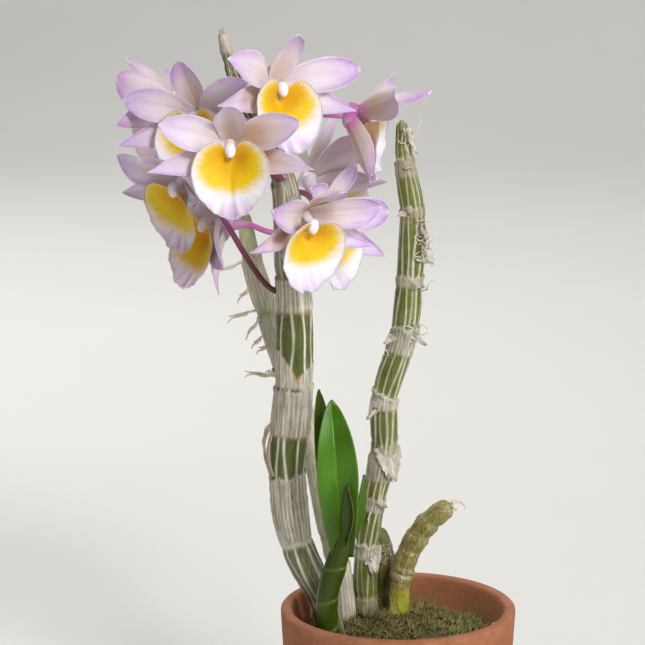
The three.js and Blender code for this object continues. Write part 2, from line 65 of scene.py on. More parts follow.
def colour(name, description, text):
    """A colour that the user may change."""
    return bpy.props.FloatVectorProperty(
        name=name, description=description, subtype="COLOR", size=4, min=0, max=1, default=linear(text)
    )


def length(name, description, millimetres):
    """A length that the user may change."""
    return bpy.props.FloatProperty(
        name=name, description=description, subtype="DISTANCE", unit="LENGTH", min=0, precision=5,
        default=millimetres * MM,
    )


class PotSettings(bpy.types.PropertyGroup):
    rim_radius: length("Rim radius", "Outside radius of the collar", 33.6)
    height: length("Height", "From the foot to the rim", 60)
    clay: colour("Clay", "Fired clay", "#ab6a45")
    bloom: colour("Mineral bloom", "Pale salts that dry on the outside", "#c08d70")
    # Partly painted shade: this green film is kept weaker on the left, where the inner wall is lit.
    algae_and_painted_shade: colour("Algae", "Green film on the damp inside", "#70713a")


class MossSettings(bpy.types.PropertyGroup):
    blade_height: length("Leaf height", "Of a moss sprig", 1.9)
    green: colour("Moss", "Living tips", "#a0a45c")
    brown: colour("Dry moss", "Dead leaves and fibre", "#9c8058")
    soil: colour("Potting mix", "Damp bark and peat", "#40301f")


class CaneSettings(bpy.types.PropertyGroup):
    vein_relief: length("Vein relief", "How far a long vein stands out of the skin", 0.12)
    sheath_thickness: length("Sheath thickness", "Of the papery sheath round a cane", 0.28)
    flesh: colour("Flesh", "Green skin of the flowering cane", "#5d6526")
    bright_flesh: colour("Bright flesh", "Green skin of the cane beside it", "#6f7628")
    old_flesh: colour("Old flesh", "Skin of a cut, yellowing cane", "#9a9148")
    old_foot: colour("Old foot", "Younger skin at the foot of a cut cane", "#a9a52c")
    pale_flesh: colour("Pale flesh", "Skin of a leafless cane that has gone silvery", "#c0c49c")
    vein: colour("Vein", "Pale fibres that run the length of a cane", "#f8f3df")
    paper: colour("Sheath", "Dry papery sheath", "#bfb4a8")
    ring: colour("Node ring", "Scar where a sheath was joined", "#b08650")


class ShootSettings(bpy.types.PropertyGroup):
    leaf_width: length("Leaf width", "Of the longest leaf", 11.4)
    leaf: colour("Leaf", "Fresh leaf", "#44730b")
    # Painted shade as well as colour: the stem's own darker green, and shade laid on the leaf bases, the
    # right halves and the leaves behind.
    shade: colour("Leaf sheath", "Darker stem and leaf bases", "#324008")
    joint: colour("Joint", "Line where one leaf sheath ends", "#7c8440")


class BloomSettings(bpy.types.PropertyGroup):
    petal_thickness: length("Petal thickness", "At the middle of a petal", 0.45)
    fringe: length("Fringe", "Length of the hairs round a lip", 0.6)
    white: colour("Petal", "Base of a petal", "#e4dde6")
    margin: colour("Lip margin", "Pale margin of a lip", "#f0eaf0")
    lilac: colour("Petal tip", "Tip and margin of a petal", "#b389c9")
    pink: colour("Chin", "Chin and ovary behind a lip", "#c670b4")
    # Painted shade: this beige is laid on tepals where they lie in shadow or are seen against shade, and
    # under the column; on the stalks and chin it is a plain tint.
    cream_and_painted_shade: colour("Petal shade", "Where the tissue is thick or seen through", "#c8aa8e")
    wine: colour("Stalk", "Flower stalk and chin", "#86435f")
    # Painted shade: the darkest stalk colour, laid where a stalk stands in shade, most of all on the left
    # bloom's stalk.
    painted_shade_wine: colour("Shaded stalk", "Older flower stalk", "#5a2a34")
    yellow: colour("Lip heart", "Velvet heart of the lip", "#e6c502")
    orange: colour("Lip throat", "Deep throat of the lip", "#da9a04")


class StageSettings(bpy.types.PropertyGroup):
    floor: colour("Floor", "Matt paper sweep", "#dddbd7")
    distance: length("Camera distance", "From the camera to what it looks at", 800)


# ---------- meshes ----------


class Piece:
    """The vertices, faces and named values per vertex of one piece in the making."""

    def __init__(self, *channels):
        self.channels = channels
        self.points, self.values, self.faces = [], [], []

    def add(self, place, *values):
        self.points.append(place)
        self.values.append(values)
        return len(self.points) - 1

    def face(self, *corners):
        self.faces.append(corners)

    def band(self, low, high):
        """The faces between two rings, of which one may be a single vertex."""
        sides = max(len(low), len(high))
        for k in range(sides):
            n = (k + 1) % sides
            if len(low) == 1:
                self.face(low[0], high[k], high[n])
            elif len(high) == 1:
                self.face(low[k], low[n], high[0])
            else:
                self.face(low[k], low[n], high[n], high[k])

    def build(self, name, material, slot, *nodes):
        """Makes the object in metres and ties it to the frame."""
        mesh = bpy.data.meshes.new(name)
        mesh.from_pydata([p * MM for p in self.points], [], self.faces)
        for i, channel in enumerate(self.channels):
            layer = mesh.attributes.new(channel, "FLOAT", "POINT")
            layer.data.foreach_set("value", [values[i] for values in self.values])
        form = bmesh.new()
        form.from_mesh(mesh)
        bmesh.ops.recalc_face_normals(form, faces=form.faces)
        form.to_mesh(mesh)
        form.free()
        mesh.polygons.foreach_set("use_smooth", [True] * len(mesh.polygons))
        mesh.materials.append(material)
        made = placed(name, mesh)
        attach(made, "root")
        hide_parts(*nodes)
        return made


def placed(name, data):
    """A new object in the scene."""
    made = bpy.data.objects.new(name, data)
    bpy.context.scene.collection.objects.link(made)
    return made


def clamp(x):
    return min(max(x, 0), 1)


def smooth(low, high, x):
    """0 below low, 1 above high, and an easy slope between; high may be under low."""
    t = clamp((x - low) / (high - low))
    return t * t * (3 - 2 * t)


def mix(a, b, t):
    return a + (b - a) * t


def bell(x):
    """1 at 0, and falling off to both sides."""
    return math.exp(-(x**2))


def wrapped(turn):
    """An angle brought to within half a turn of 0."""
    return (turn + math.pi) % TURN - math.pi


def level(turn):
    """The level direction at an angle in radians."""
    return Vector((math.cos(turn), math.sin(turn), 0))


def heading(turn):
    """The level direction at an angle in degrees."""
    return level(math.radians(turn))


def raised(height):
    return Vector((0, 0, height))


def scatter(draw, *spans):
    """A vector whose parts are drawn from these spans."""
    return Vector([draw.uniform(low, high) for low, high in spans])


def noise_at(x, y, z):
    return noise.noise(Vector((x, y, z)))


def spline(points):
    """A centripetal Catmull-Rom curve as a function of the point's number, which may fall between."""
    knots = [Vector(p[:3]) for p in points]
    knots = [knots[0] * 2 - knots[1], *knots, knots[-1] * 2 - knots[-2]]

    def at(place):
        i = min(max(int(place), 0), len(points) - 2)
        t = place - i
        p0, p1, p2, p3 = knots[i : i + 4]
        d0, d1, d2 = ((b - a).length ** 0.5 for a, b in ((p0, p1), (p1, p2), (p2, p3)))
        t1 = ((p1 - p0) / d0 - (p2 - p0) / (d0 + d1) + (p2 - p1) / d1) * d1
        t2 = ((p2 - p1) / d1 - (p3 - p1) / (d1 + d2) + (p3 - p2) / d2) * d1
        return p1 + t1 * t + (3 * (p2 - p1) - 2 * t1 - t2) * t * t + (2 * (p1 - p2) + t1 + t2) * t**3

    return at


def bezier(*corners):
    """A Bezier curve through its first and last corner, as a function from 0 to 1."""

    def at(t):
        row = list(corners)
        while len(row) > 1:
            row = [a.lerp(b, t) for a, b in zip(row, row[1:])]
        return row[0]

    return at


def tube(piece, centres, sides, shape):
    """A closed tube. shape(i, turn, out) gives its radius and values at ring i, turn in radians."""
    right = None
    rings = []
    for i, centre in enumerate(centres):
        along = (centres[min(i + 1, len(centres) - 1)] - centres[max(i - 1, 0)]).normalized()
        if right is None:
            right = along.cross(Vector((0.31, 0.95, 0.1))).normalized()
        right = (right - along * right.dot(along)).normalized()
        up = along.cross(right)
        ring = []
        for k in range(sides):
            turn = TURN * k / sides
            out = right * math.cos(turn) + up * math.sin(turn)
            radius, *values = shape(i, turn, out)
            ring.append(piece.add(centre + out * radius, *values))
        rings.append(ring)
    for low, high in zip(rings, rings[1:]):
        piece.band(low, high)
    for ring, centre in ((rings[0], centres[0]), (rings[-1], centres[-1])):
        piece.band(ring, [piece.add(centre.copy(), *piece.values[ring[0]])])


def strand(piece, curve, steps, radii, sides, *values):
    """A plain tube along a curve from 0 to 1, with a radius that runs through a list."""
    centres = [curve(i / steps) for i in range(steps + 1)]
    spread = len(radii) - 1

    def shape(i, turn, out):
        place = i / steps * spread
        low = min(int(place), spread - 1)
        return (mix(radii[low], radii[low + 1], place - low), *values)

    tube(piece, centres, sides, shape)


def sheet(piece, place, steps, columns, thickness, values):
    """A thin closed blade. place(s, t) is its middle surface, s from 0 to 1 and t from -1 to 1.
    values(s, t, front) are its vertex values."""
    grid = []
    for i in range(steps + 1):
        s = 1 - (1 - i / steps) ** 1.35  # closer rows near the tip
        grid.append([(s, 2 * j / columns - 1) for j in range(columns + 1)])
    middle = [[place(s, t) for s, t in row] for row in grid]
    fronts, backs = [], []
    for i, row in enumerate(grid):
        fronts.append([])
        backs.append([])
        for j, (s, t) in enumerate(row):
            along = middle[min(i + 1, steps)][j] - middle[max(i - 1, 0)][j]
            across = middle[i][min(j + 1, columns)] - middle[i][max(j - 1, 0)]
            normal = across.cross(along)
            normal = normal.normalized() if normal.length > 1e-9 else raised(1)
            half = thickness(s, t) / 2
            fronts[-1].append(piece.add(middle[i][j] + normal * half, *values(s, t, True)))
            backs[-1].append(piece.add(middle[i][j] - normal * half, *values(s, t, False)))
    for i in range(steps):
        for j in range(columns):
            piece.face(fronts[i][j], fronts[i][j + 1], fronts[i + 1][j + 1], fronts[i + 1][j])
            piece.face(backs[i][j], backs[i + 1][j], backs[i + 1][j + 1], backs[i][j + 1])
    for j in (0, columns):
        for i in range(steps):
            piece.face(fronts[i][j], fronts[i + 1][j], backs[i + 1][j], backs[i][j])
    for i in (0, steps):
        for j in range(columns):
            piece.face(fronts[i][j], fronts[i][j + 1], backs[i][j + 1], backs[i][j])


# ---------- materials ----------

# A mix of colours: input 0 is the share, 6 the colour below and 7 the one above it.
RGBA = {"output": 2, "data_type": "RGBA"}


def add(tree, kind, inputs=None, output=0, **settings):
    """Adds a shader node with its settings and inputs, and gives back one of its outputs."""
    made = tree.nodes.new("ShaderNode" + kind)
    for name, value in settings.items():
        setattr(made, name, value)
    for key, value in (inputs or {}).items():
        if isinstance(value, bpy.types.NodeSocket):
            tree.links.new(value, made.inputs[key])
        else:
            made.inputs[key].default_value = value
    return made.outputs[output]


def new_material(name, *channels, **sockets):
    """A material with one Principled shader. Gives back the material, its tree and shader, the place in
    metres, and the values per vertex of each channel."""
    material = bpy.data.materials.new(name)
    material.use_nodes = True
    tree = material.node_tree
    shader = tree.nodes["Principled BSDF"]
    for key, value in sockets.items():
        shader.inputs[key.replace("_", " ")].default_value = value
    place = add(tree, "TexCoord", output="Object")
    values = [add(tree, "Attribute", attribute_name=channel, output="Fac") for channel in channels]
    return material, tree, shader, place, *values


def tinted(colour, *shares):
    """A colour times one share, or times a share for each of red, green and blue."""
    return [c * share for c, share in zip(colour[:3], shares * (3 // len(shares)))] + [1.0]


def surface(tree, shader, colour, pattern, dark, light, relief=None, strength=0.0, depth=0.0002):
    """Gives the shader its colour, varied from dark to light by a pattern, and its relief."""
    spread = {"From Min": 0.3, "From Max": 0.7, "To Min": dark, "To Max": light}
    tone = add(tree, "MapRange", {"Value": pattern, **spread})
    toned = add(tree, "Mix", {0: 1.0, 6: colour, 7: tone}, **RGBA, blend_type="MULTIPLY")
    tree.links.new(toned, shader.inputs["Base Color"])
    if relief:
        bump = add(tree, "Bump", {"Height": relief, "Strength": strength, "Distance": depth})
        tree.links.new(bump, shader.inputs["Normal"])


def fired_clay(pot):
    """Unglazed terracotta: matt, with sand grains, pale salts, and a green film inside where damp, which is
    partly painted shade.
    """
    material, tree, shader, place, salt, algae_and_painted_shade = new_material(
        "terracotta, turned and fired", "salt", "algae_and_painted_shade", Roughness=0.86, IOR=1.5
    )
    # Kiln clouds of 11 mm, and sand of 0.6 mm.
    cloud = add(tree, "TexNoise", {"Vector": place, "Scale": 90.0, "Detail": 6.0, "Roughness": 0.65})
    sand = add(tree, "TexNoise", {"Vector": place, "Scale": 1600.0, "Detail": 3.0})
    patch = add(tree, "MapRange", {"Value": cloud, "From Min": 0.42, "From Max": 0.68, "To Max": 0.6})
    crust = add(tree, "Math", {0: salt, 1: patch}, operation="MULTIPLY")
    base = tinted(pot.clay, 0.72)
    # The green film inside is partly painted shade.
    for share, tint in ((cloud, pot.clay), (crust, pot.bloom), (algae_and_painted_shade, pot.algae_and_painted_shade)):
        base = add(tree, "Mix", {0: share, 6: base, 7: tint}, **RGBA)
    surface(tree, shader, base, sand, 0.82, 1.1, sand, 0.5, 0.0003)
    return material


def moss_material(moss):
    """Damp moss and peat: matt, green at the tips, brown and black below."""
    material, tree, shader, place, tip, dead = new_material(
        "cushion moss on peat", "tip", "dead", Roughness=0.85, IOR=1.4
    )
    cloud = add(tree, "TexNoise", {"Vector": place, "Scale": 160.0, "Detail": 4.0})  # patches of 6 mm
    leaf = add(tree, "Mix", {0: dead, 6: moss.green, 7: moss.brown}, **RGBA)
    base = add(tree, "Mix", {0: tip, 6: moss.soil, 7: leaf}, **RGBA)
    surface(tree, shader, base, cloud, 0.6, 1.2)
    return material


def cane_skin(name, cane, flesh, roughness, depth=0.55, foot=None):
    """Waxy cane skin with pale fibres, in a papery sheath that is duller and streaked along its length.
    depth is how dark the streaks are, and foot the colour below the lowest node."""
    material, tree, shader, place, vein, paper, ring, scurf = new_material(
        name, "vein", "paper", "ring", "scurf", IOR=1.45, Subsurface_Weight=0.08, Subsurface_Scale=0.002
    )
    # Streaks 0.5 mm wide and 10 mm long, stains of 4.5 mm, and crumbs of 0.5 mm.
    stretched = add(tree, "Mapping", {"Vector": place, "Scale": (1.0, 1.0, 0.045)})
    streak = add(tree, "TexNoise", {"Vector": stretched, "Scale": 2100.0, "Detail": 3.0})
    stain = add(tree, "TexNoise", {"Vector": place, "Scale": 220.0, "Detail": 5.0, "Roughness": 0.6})
    crumb = add(tree, "TexNoise", {"Vector": place, "Scale": 2000.0, "Detail": 4.0})
    tone = add(tree, "MapRange", {"Value": streak, "From Min": 0.3, "From Max": 0.65})
    green = add(tree, "Mix", {0: tone, 6: tinted(flesh, 1 - depth), 7: flesh}, **RGBA)
    if foot:
        height = add(tree, "SeparateXYZ", {"Vector": place}, output=2)
        low = add(tree, "MapRange", {"Value": height, "From Min": 0.063, "From Max": 0.061})
        green = add(tree, "Mix", {0: low, 6: green, 7: foot}, **RGBA)
    tone = add(tree, "MapRange", {"Value": streak, "From Min": 0.3, "From Max": 0.62})
    tan = add(tree, "MapRange", {"Value": stain, "From Min": 0.4, "From Max": 0.62, "To Max": 0.38})
    dry = tinted(cane.paper, 0.85 - depth)
    for share, tint in ((tone, cane.paper), (tan, tinted(cane.paper, 0.62, 0.5, 0.42))):
        dry = add(tree, "Mix", {0: share, 6: dry, 7: tint}, **RGBA)
    flake = add(tree, "MapRange", {"Value": crumb, "From Min": 0.52, "From Max": 0.64})
    loose = add(tree, "Math", {0: flake, 1: scurf}, operation="MULTIPLY")
    base = green
    for share, tint in ((paper, dry), (vein, cane.vein), (ring, cane.ring), (loose, cane.vein)):
        base = add(tree, "Mix", {0: share, 6: base, 7: tint}, **RGBA)
    rough = add(tree, "MapRange", {"Value": paper, "To Min": roughness, "To Max": roughness + 0.06})
    tree.links.new(rough, shader.inputs["Roughness"])
    surface(tree, shader, base, stain, 0.72, 1.12, streak, 0.45)
    return material


def leaf_material(shoot):
    """Fresh leaf: a glossy cuticle over green tissue that lets some light through, with parallel veins."""
    material, tree, shader, place, vein, shade, edge = new_material(
        "fresh leaf with a waxy cuticle", "vein", "shade", "edge",
        Roughness=0.24, IOR=1.35, Subsurface_Weight=0.06, Subsurface_Scale=0.001,
    )
    cloud = add(tree, "TexNoise", {"Vector": place, "Scale": 120.0, "Detail": 3.0})  # patches of 8 mm
    pale = [min(c * 1.9 + 0.01, 1.0) for c in shoot.leaf[:3]] + [1.0]
    faint = add(tree, "Math", {0: vein, 1: 0.3}, operation="MULTIPLY")
    base = shoot.leaf
    # The sheath colour is the stem's own green, and painted shade on the leaves.
    for share, tint in ((shade, shoot.shade), (faint, pale), (edge, shoot.joint)):
        base = add(tree, "Mix", {0: share, 6: base, 7: tint}, **RGBA)
    surface(tree, shader, base, cloud, 0.8, 1.15, vein, 0.25)
    return material


def petal_material(bloom):
    """Waxy petal tissue: white at the base, lilac at the tip and margin, with faint long veins; light
    scatters about a millimetre inside it."""
    material, tree, shader, place, lilac, cream_and_painted_shade, wine, vein = new_material(
        "waxy petal tissue", "lilac", "cream_and_painted_shade", "wine", "vein", Roughness=0.45, IOR=1.42,
        Subsurface_Weight=0.25, Subsurface_Scale=0.001, Subsurface_Radius=(1.0, 0.7, 0.8),
    )
    # Mottle of 2.4 mm, and sparkling cells of 0.4 mm, drawn coarser than life.
    cloud = add(tree, "TexNoise", {"Vector": place, "Scale": 420.0, "Detail": 7.0, "Roughness": 0.65})
    cells = add(tree, "TexVoronoi", {"Vector": place, "Scale": 2600.0})
    spread = {"From Min": 0.3, "From Max": 0.7, "To Min": 0.7, "To Max": 1.25}
    uneven = add(tree, "MapRange", {"Value": cloud, **spread})
    amount = add(tree, "Math", {0: lilac, 1: uneven}, operation="MULTIPLY", use_clamp=True)
    pale = add(tree, "MapRange", {"Value": lilac, "From Min": 0.0, "From Max": -1.0})  # the column only
    faint = add(tree, "Math", {0: vein, 1: 0.24}, operation="MULTIPLY")
    # The beige coat is painted shade on the tepals and under the column, and a plain tint on the stalk and
    # chin.
    coats = [(amount, bloom.lilac), (pale, bloom.margin), (cream_and_painted_shade, bloom.cream_and_painted_shade)]
    coats.append((faint, tinted(bloom.lilac, 0.8)))
    # The stalk runs from pink through wine to a darker wine that is painted shade.
    for low, tint in ((0.0, bloom.pink), (0.35, bloom.wine), (0.7, bloom.painted_shade_wine)):
        share = add(tree, "MapRange", {"Value": wine, "From Min": low, "From Max": low + 0.33})
        coats.append((share, tint))
    base = bloom.white
    for share, tint in coats:
        base = add(tree, "Mix", {0: share, 6: base, 7: tint}, **RGBA)
    tree.links.new(base, shader.inputs["Base Color"])
    ribs = add(tree, "Bump", {"Height": vein, "Strength": 0.3, "Distance": 0.0002})
    sparkle = add(tree, "Bump", {"Height": cells, "Strength": 0.12, "Distance": 0.0001, "Normal": ribs})
    tree.links.new(sparkle, shader.inputs["Normal"])
    return material


def lip_material(bloom):
    """Velvet lip: a yellow heart of short hairs that glow at a slant, an orange throat, a white margin."""
    material, tree, shader, place, yellow, orange, lilac = new_material(
        "velvet lip", "yellow", "orange", "lilac", Roughness=0.6, IOR=1.4,
        Subsurface_Weight=0.3, Subsurface_Scale=0.0012, Sheen_Weight=0.08, Sheen_Roughness=0.4,
    )
    # A nap of 0.4 mm, drawn coarser than life.
    nap = add(tree, "TexNoise", {"Vector": place, "Scale": 2600.0, "Detail": 2.0})
    heart = add(tree, "Mix", {0: orange, 6: bloom.yellow, 7: bloom.orange}, **RGBA)
    base = bloom.margin
    for share, tint in ((lilac, bloom.lilac), (yellow, heart)):
        base = add(tree, "Mix", {0: share, 6: base, 7: tint}, **RGBA)
    surface(tree, shader, base, nap, 0.9, 1.06, nap, 0.35)
    return material


def paper_floor(stage):
    """A matt paper sweep with the faintest mottle."""
    material, tree, shader, place = new_material("matt paper sweep", Roughness=0.9, IOR=1.15)
    cloud = add(tree, "TexNoise", {"Vector": place, "Scale": 6.0, "Detail": 5.0})  # patches of 170 mm
    tone = add(tree, "MapRange", {"Value": cloud, "To Min": 0.96, "To Max": 1.02})
    toned = add(tree, "Mix", {0: 1.0, 6: stage.floor, 7: tone}, **RGBA, blend_type="MULTIPLY")
    tree.links.new(toned, shader.inputs["Base Color"])
    return material


# ---------- pot ----------

FOOT_RADIUS = 22.0
WAIST_RADIUS = 29.5
COLLAR_HEIGHT = 15.0
WALL = 3.2
FLOOR = 4.0
DRAINS = {"count": 3, "circle": 11.0, "radius": 3.2}
LATHE = {"sides": 144, "step": 1.6}


def rounded(profile, cuts=3):
    """A profile of (radius, height, rounding) with its marked corners rounded off."""
    out = []
    for i, (*corner, soft) in enumerate(profile):
        corner = Vector(corner)
        if not soft:
            out.append(corner)
            continue
        ways = [(Vector(profile[n][:2]) - corner).normalized() for n in (i - 1, i + 1)]
        start, end = (corner + way * soft for way in ways)
        for c in range(cuts + 1):
            t = c / cuts
            out.append(start.lerp(corner, t).lerp(corner.lerp(end, t), t))
    return out


def inner_radius(rim_radius, height, z):
    """The radius of the pot's inner wall."""
    return mix(FOOT_RADIUS - WALL, rim_radius - WALL, (z - FLOOR) / (height - FLOOR))


def finer(profile, step):
    """The same profile with no stretch longer than step."""
    out = [profile[0]]
    for point in profile[1:]:
        pieces = max(1, round((point - out[-1]).length / step))
        start = out[-1]
        out += [start.lerp(point, (i + 1) / pieces) for i in range(pieces)]
    return out


def make_pot(settings):
    rim, height = settings.rim_radius / MM, settings.height / MM
    collar = height - COLLAR_HEIGHT
    profile = rounded([
        (0, 0, 0),
        (FOOT_RADIUS, 0, 1.0),
        (WAIST_RADIUS, collar, 0.4),
        (rim - 0.9, collar, 0.9),
        (rim, height, 1.3),
        (inner_radius(rim, height, height), height, 1.2),
        (inner_radius(rim, height, FLOOR), FLOOR, 1.5),
        (0, FLOOR, 0),
    ])
    piece = Piece("salt", "algae_and_painted_shade")
    rings = []
    for r, z in finer(profile, LATHE["step"]):
        inside = r < inner_radius(rim, height, max(z, FLOOR)) + 0.3 and z > FLOOR
        low_inside = smooth(height - 1.5, MOSS["level"] - 1, z)
        rings.append([])
        for k in range(LATHE["sides"] if r > 0 else 1):
            way = level(TURN * k / LATHE["sides"])
            wobble = noise.noise(way * 1.3 + raised(z * 0.02)) * 0.22
            pit = noise_at(way.x * 9, way.y * 9, z * 0.5) * 0.06
            place = way * (r + (wobble + pit if 0 < z < height else wobble * 0.5)) + raised(z)
            damp = noise.noise(place * 0.12) * 0.5 + 0.55
            # A green film lower down the inside wall; keeping it weaker on the left is painted light, for the
            # lit left side of the inner wall.
            algae_and_painted_shade = smooth(0.25, 0.8, damp) * low_inside * (0.35 + 0.65 * (way.x > -0.2)) if inside else 0
            salt = 0.0 if inside else smooth(6, 30, abs(z - collar) + 12 * damp) * 0.8
            rings[-1].append(piece.add(place, salt, algae_and_painted_shade * 0.85))
    for low, high in zip(rings, rings[1:]):
        piece.band(low, high)
    pot = piece.build("pot_body", fired_clay(settings), "clay", "pot")
    form = bmesh.new()
    for i in range(DRAINS["count"]):
        place = level(TURN * (i + 0.25) / DRAINS["count"]) * DRAINS["circle"] * MM
        bmesh.ops.create_cone(
            form, cap_ends=True, segments=40, depth=3 * FLOOR * MM, matrix=Matrix.Translation(place),
            radius1=DRAINS["radius"] * MM * 1.06, radius2=DRAINS["radius"] * MM,
        )
    punch = bpy.data.meshes.new("punch")
    form.to_mesh(punch)
    form.free()
    tool = placed("punch", punch)
    cut = pot.modifiers.new("drain holes", "BOOLEAN")
    cut.operation, cut.object, cut.solver = "DIFFERENCE", tool, "EXACT"
    graph = bpy.context.evaluated_depsgraph_get()
    cut_pot = pot.evaluated_get(graph)
    pot_mesh = bpy.data.meshes.new_from_object(cut_pot, preserve_all_data_layers=True, depsgraph=graph)
    pot.modifiers.clear()
    pot.data = pot_mesh
    bpy.data.objects.remove(tool)


# ---------- moss ----------

MOSS = {
    "level": 50.0, "mound": (-7.0, 7.0), "rise": 3.4, "spread": 260.0, "tuft": 0.55, "gap": 0.4,
    "sides": 120, "rings": 44, "sprigs": 8000, "crumbs": 260, "sprouts": 44,
}


def moss_height(x, y):
    """The top of the moss: a low mound with tufts."""
    away = (x - MOSS["mound"][0]) ** 2 + (y - MOSS["mound"][1]) ** 2
    waves = math.sin(0.9 * x + 1.3 * y) + math.sin(1.7 * x - 0.8 * y + 2)
    lumps = noise.fractal(Vector((x * 0.22, y * 0.22, 3.1)), 0.9, 2.1, 4) * 1.1
    mound = MOSS["rise"] * math.exp(-away / MOSS["spread"])
    return MOSS["level"] + mound + MOSS["tuft"] * waves * 0.6 + lumps


def droop(edge, away):
    """How much lower the moss lies by the pot's wall."""
    return 1.3 * smooth(edge - 3, edge, away)


def in_a_cane(x, y, margin):
    """Whether a place on the moss is under the foot of a cane or the shoot."""
    for stem in [cane["nodes"] for cane in CANES.values()] + [SHOOT["stem"]]:
        foot, upper = Vector(stem[0]), Vector(stem[1])
        here = foot.lerp(upper, (MOSS["level"] + 2 - foot.z) / (upper.z - foot.z))
        if math.hypot(x - here.x, y - here.y) < stem[1][3] + margin:
            return True
    return False


def sprig(piece, foot, way, height, width, dead, draw):
    """A moss leaf or fibre: a thin bent spike of three sides."""
    bend = scatter(draw, (-1, 1), (-1, 1), (-0.4, 0.1)) * height * 0.45
    side = way.cross(Vector((draw.uniform(-1, 1), draw.uniform(-1, 1), 0.2))).normalized() * width
    other = way.cross(side).normalized() * width * 0.6
    rings = []
    for share, size in ((0, 0.7), (0.5, 1.0)):
        centre = foot + way * height * share + bend * share * share
        corners = (side, -side * 0.5 + other, -side * 0.5 - other)
        rings.append([piece.add(centre + c * size, share, dead) for c in corners])
    tip = piece.add(foot + way * height + bend, 1.0, dead)
    base, middle = rings
    piece.face(*base)
    for k in range(3):
        n = (k + 1) % 3
        piece.face(base[k], base[n], middle[n], middle[k])
        piece.face(middle[k], middle[n], tip)


def make_moss(settings, pot):
    draw = random.Random(11)
    rim, height = pot.rim_radius / MM, pot.height / MM
    edge = inner_radius(rim, height, MOSS["level"] - 2) - MOSS["gap"]
    piece = Piece("tip", "dead")
    sides, rings = MOSS["sides"], MOSS["rings"]
    turns = [TURN * k / sides for k in range(sides)]
    grid = []
    for r in range(1, rings + 1):
        grid.append([])
        for turn in turns:
            x, y = (edge * r / rings * f(turn) for f in (math.cos, math.sin))
            place = Vector((x, y, moss_height(x, y) - droop(edge, edge * r / rings)))
            grid[-1].append(piece.add(place, 0.25 + 0.3 * noise.noise(Vector((x, y, 0)) * 0.9), 0.7))
    foot, floor = inner_radius(rim, height, FLOOR) - 2, FLOOR + MOSS["gap"]
    under = [Vector((foot * math.cos(turn), foot * math.sin(turn), floor)) for turn in turns]
    grid.append([piece.add(place, 0, 1) for place in under])
    top = piece.add(raised(moss_height(0, 0)), 0.2, 0.8)
    bottom = piece.add(raised(floor), 0, 1)
    for k in range(sides):
        n = (k + 1) % sides
        piece.face(top, grid[0][k], grid[0][n])
        piece.face(bottom, grid[-1][n], grid[-1][k])
        for low, high in zip(grid, grid[1:]):
            piece.face(low[k], high[k], high[n], low[n])
    tall = settings.blade_height / MM
    planted = 0
    while planted < MOSS["sprigs"]:
        x, y = draw.uniform(-edge, edge), draw.uniform(-edge, edge)
        clump, away = noise_at(x * 0.35, y * 0.35, 9.0), math.hypot(x, y)
        if away > edge - 0.5 or draw.random() > 0.75 + clump or in_a_cane(x, y, -0.3):
            continue
        planted += 1
        root = Vector((x, y, moss_height(x, y) - droop(edge, away) - 0.2))
        way = Vector((draw.gauss(0, 0.55), draw.gauss(0, 0.55), 1)).normalized()
        dead = clamp(0.55 - clump * 1.1 + draw.uniform(-0.4, 0.4) - 0.012 * (x - 5))
        size = tall * (1 + 1.2 * max(clump, 0) + 0.35 * smooth(0, 18, y)) * draw.uniform(0.5, 1.5)
        sprig(piece, root, way, size, draw.uniform(0.13, 0.26), dead, draw)
    for _ in range(MOSS["crumbs"]):  # bits of bark and old roots
        turn, r = draw.uniform(0, TURN), edge * math.sqrt(draw.random()) * 0.95
        x, y = r * math.cos(turn), r * math.sin(turn)
        if in_a_cane(x, y, 0.6):
            continue
        root = Vector((x, y, moss_height(x, y) + 0.4))
        way = Vector((draw.gauss(0, 1), draw.gauss(0, 1), draw.uniform(-0.1, 0.3))).normalized()
        size = draw.uniform(0.5, 1.5)
        sprig(piece, root, way, 3 * size, 0.45 * size, draw.uniform(0.8, 1), draw)
    piece.build("moss_bed", moss_material(settings), "moss", "moss")


def make_litter(settings):
    """Pale sprouts and a thin dead twig that stand in the moss, and a grit grain by the pot's wall."""
    draw = random.Random(5)
    piece = Piece("vein", "paper", "ring", "scurf")
    for _ in range(MOSS["sprouts"]):
        x, y = draw.uniform(4, 26), draw.uniform(-9, 16)
        if math.hypot(x, y) > 26:
            continue
        z = moss_height(x, y)
        lean = Vector((draw.uniform(-1, 1), draw.uniform(-1, 1), 0))
        tall = draw.uniform(1.6, 3.4)
        foot, middle, tip = (Vector((x, y, z + rise)) for rise in (-0.6, tall * 0.6, tall))
        curve = bezier(foot, middle, tip + lean * 1.5)
        strand(piece, curve, 8, [0.14, 0.16, 0.2, 0.07], 6, 0.05, draw.uniform(0.0, 0.4), 0.0, 0.0)
    z = moss_height(6.5, 3)
    twig = bezier(Vector((6.5, 3, z - 1)), Vector((6.2, 3.4, z + 5)), Vector((8.6, 3.6, z + 9.5)))
    strand(piece, twig, 12, [0.32, 0.26, 0.16], 8, 0.0, 0.0, 0.1, 0.0)
    grit = [(-0.9, 0.5), (-0.5, 1.1), (0.2, 1.2), (0.8, 0.5)]  # height and radius

    def grain(i, turn, out):
        return grit[i][1] * (1 + 0.2 * noise.noise(out * 2)), 0.5, 0.6, 0.0, 0.4

    tube(piece, [Vector((27.6, -2.2, 54.6)) + raised(height) for height, _ in grit], 10, grain)
    skin = cane_skin("sprouts and a dead twig", settings, linear("#5d5a2c"), 0.6)
    piece.build("moss_sprouts", skin, "moss", "moss")


# ---------- canes ----------

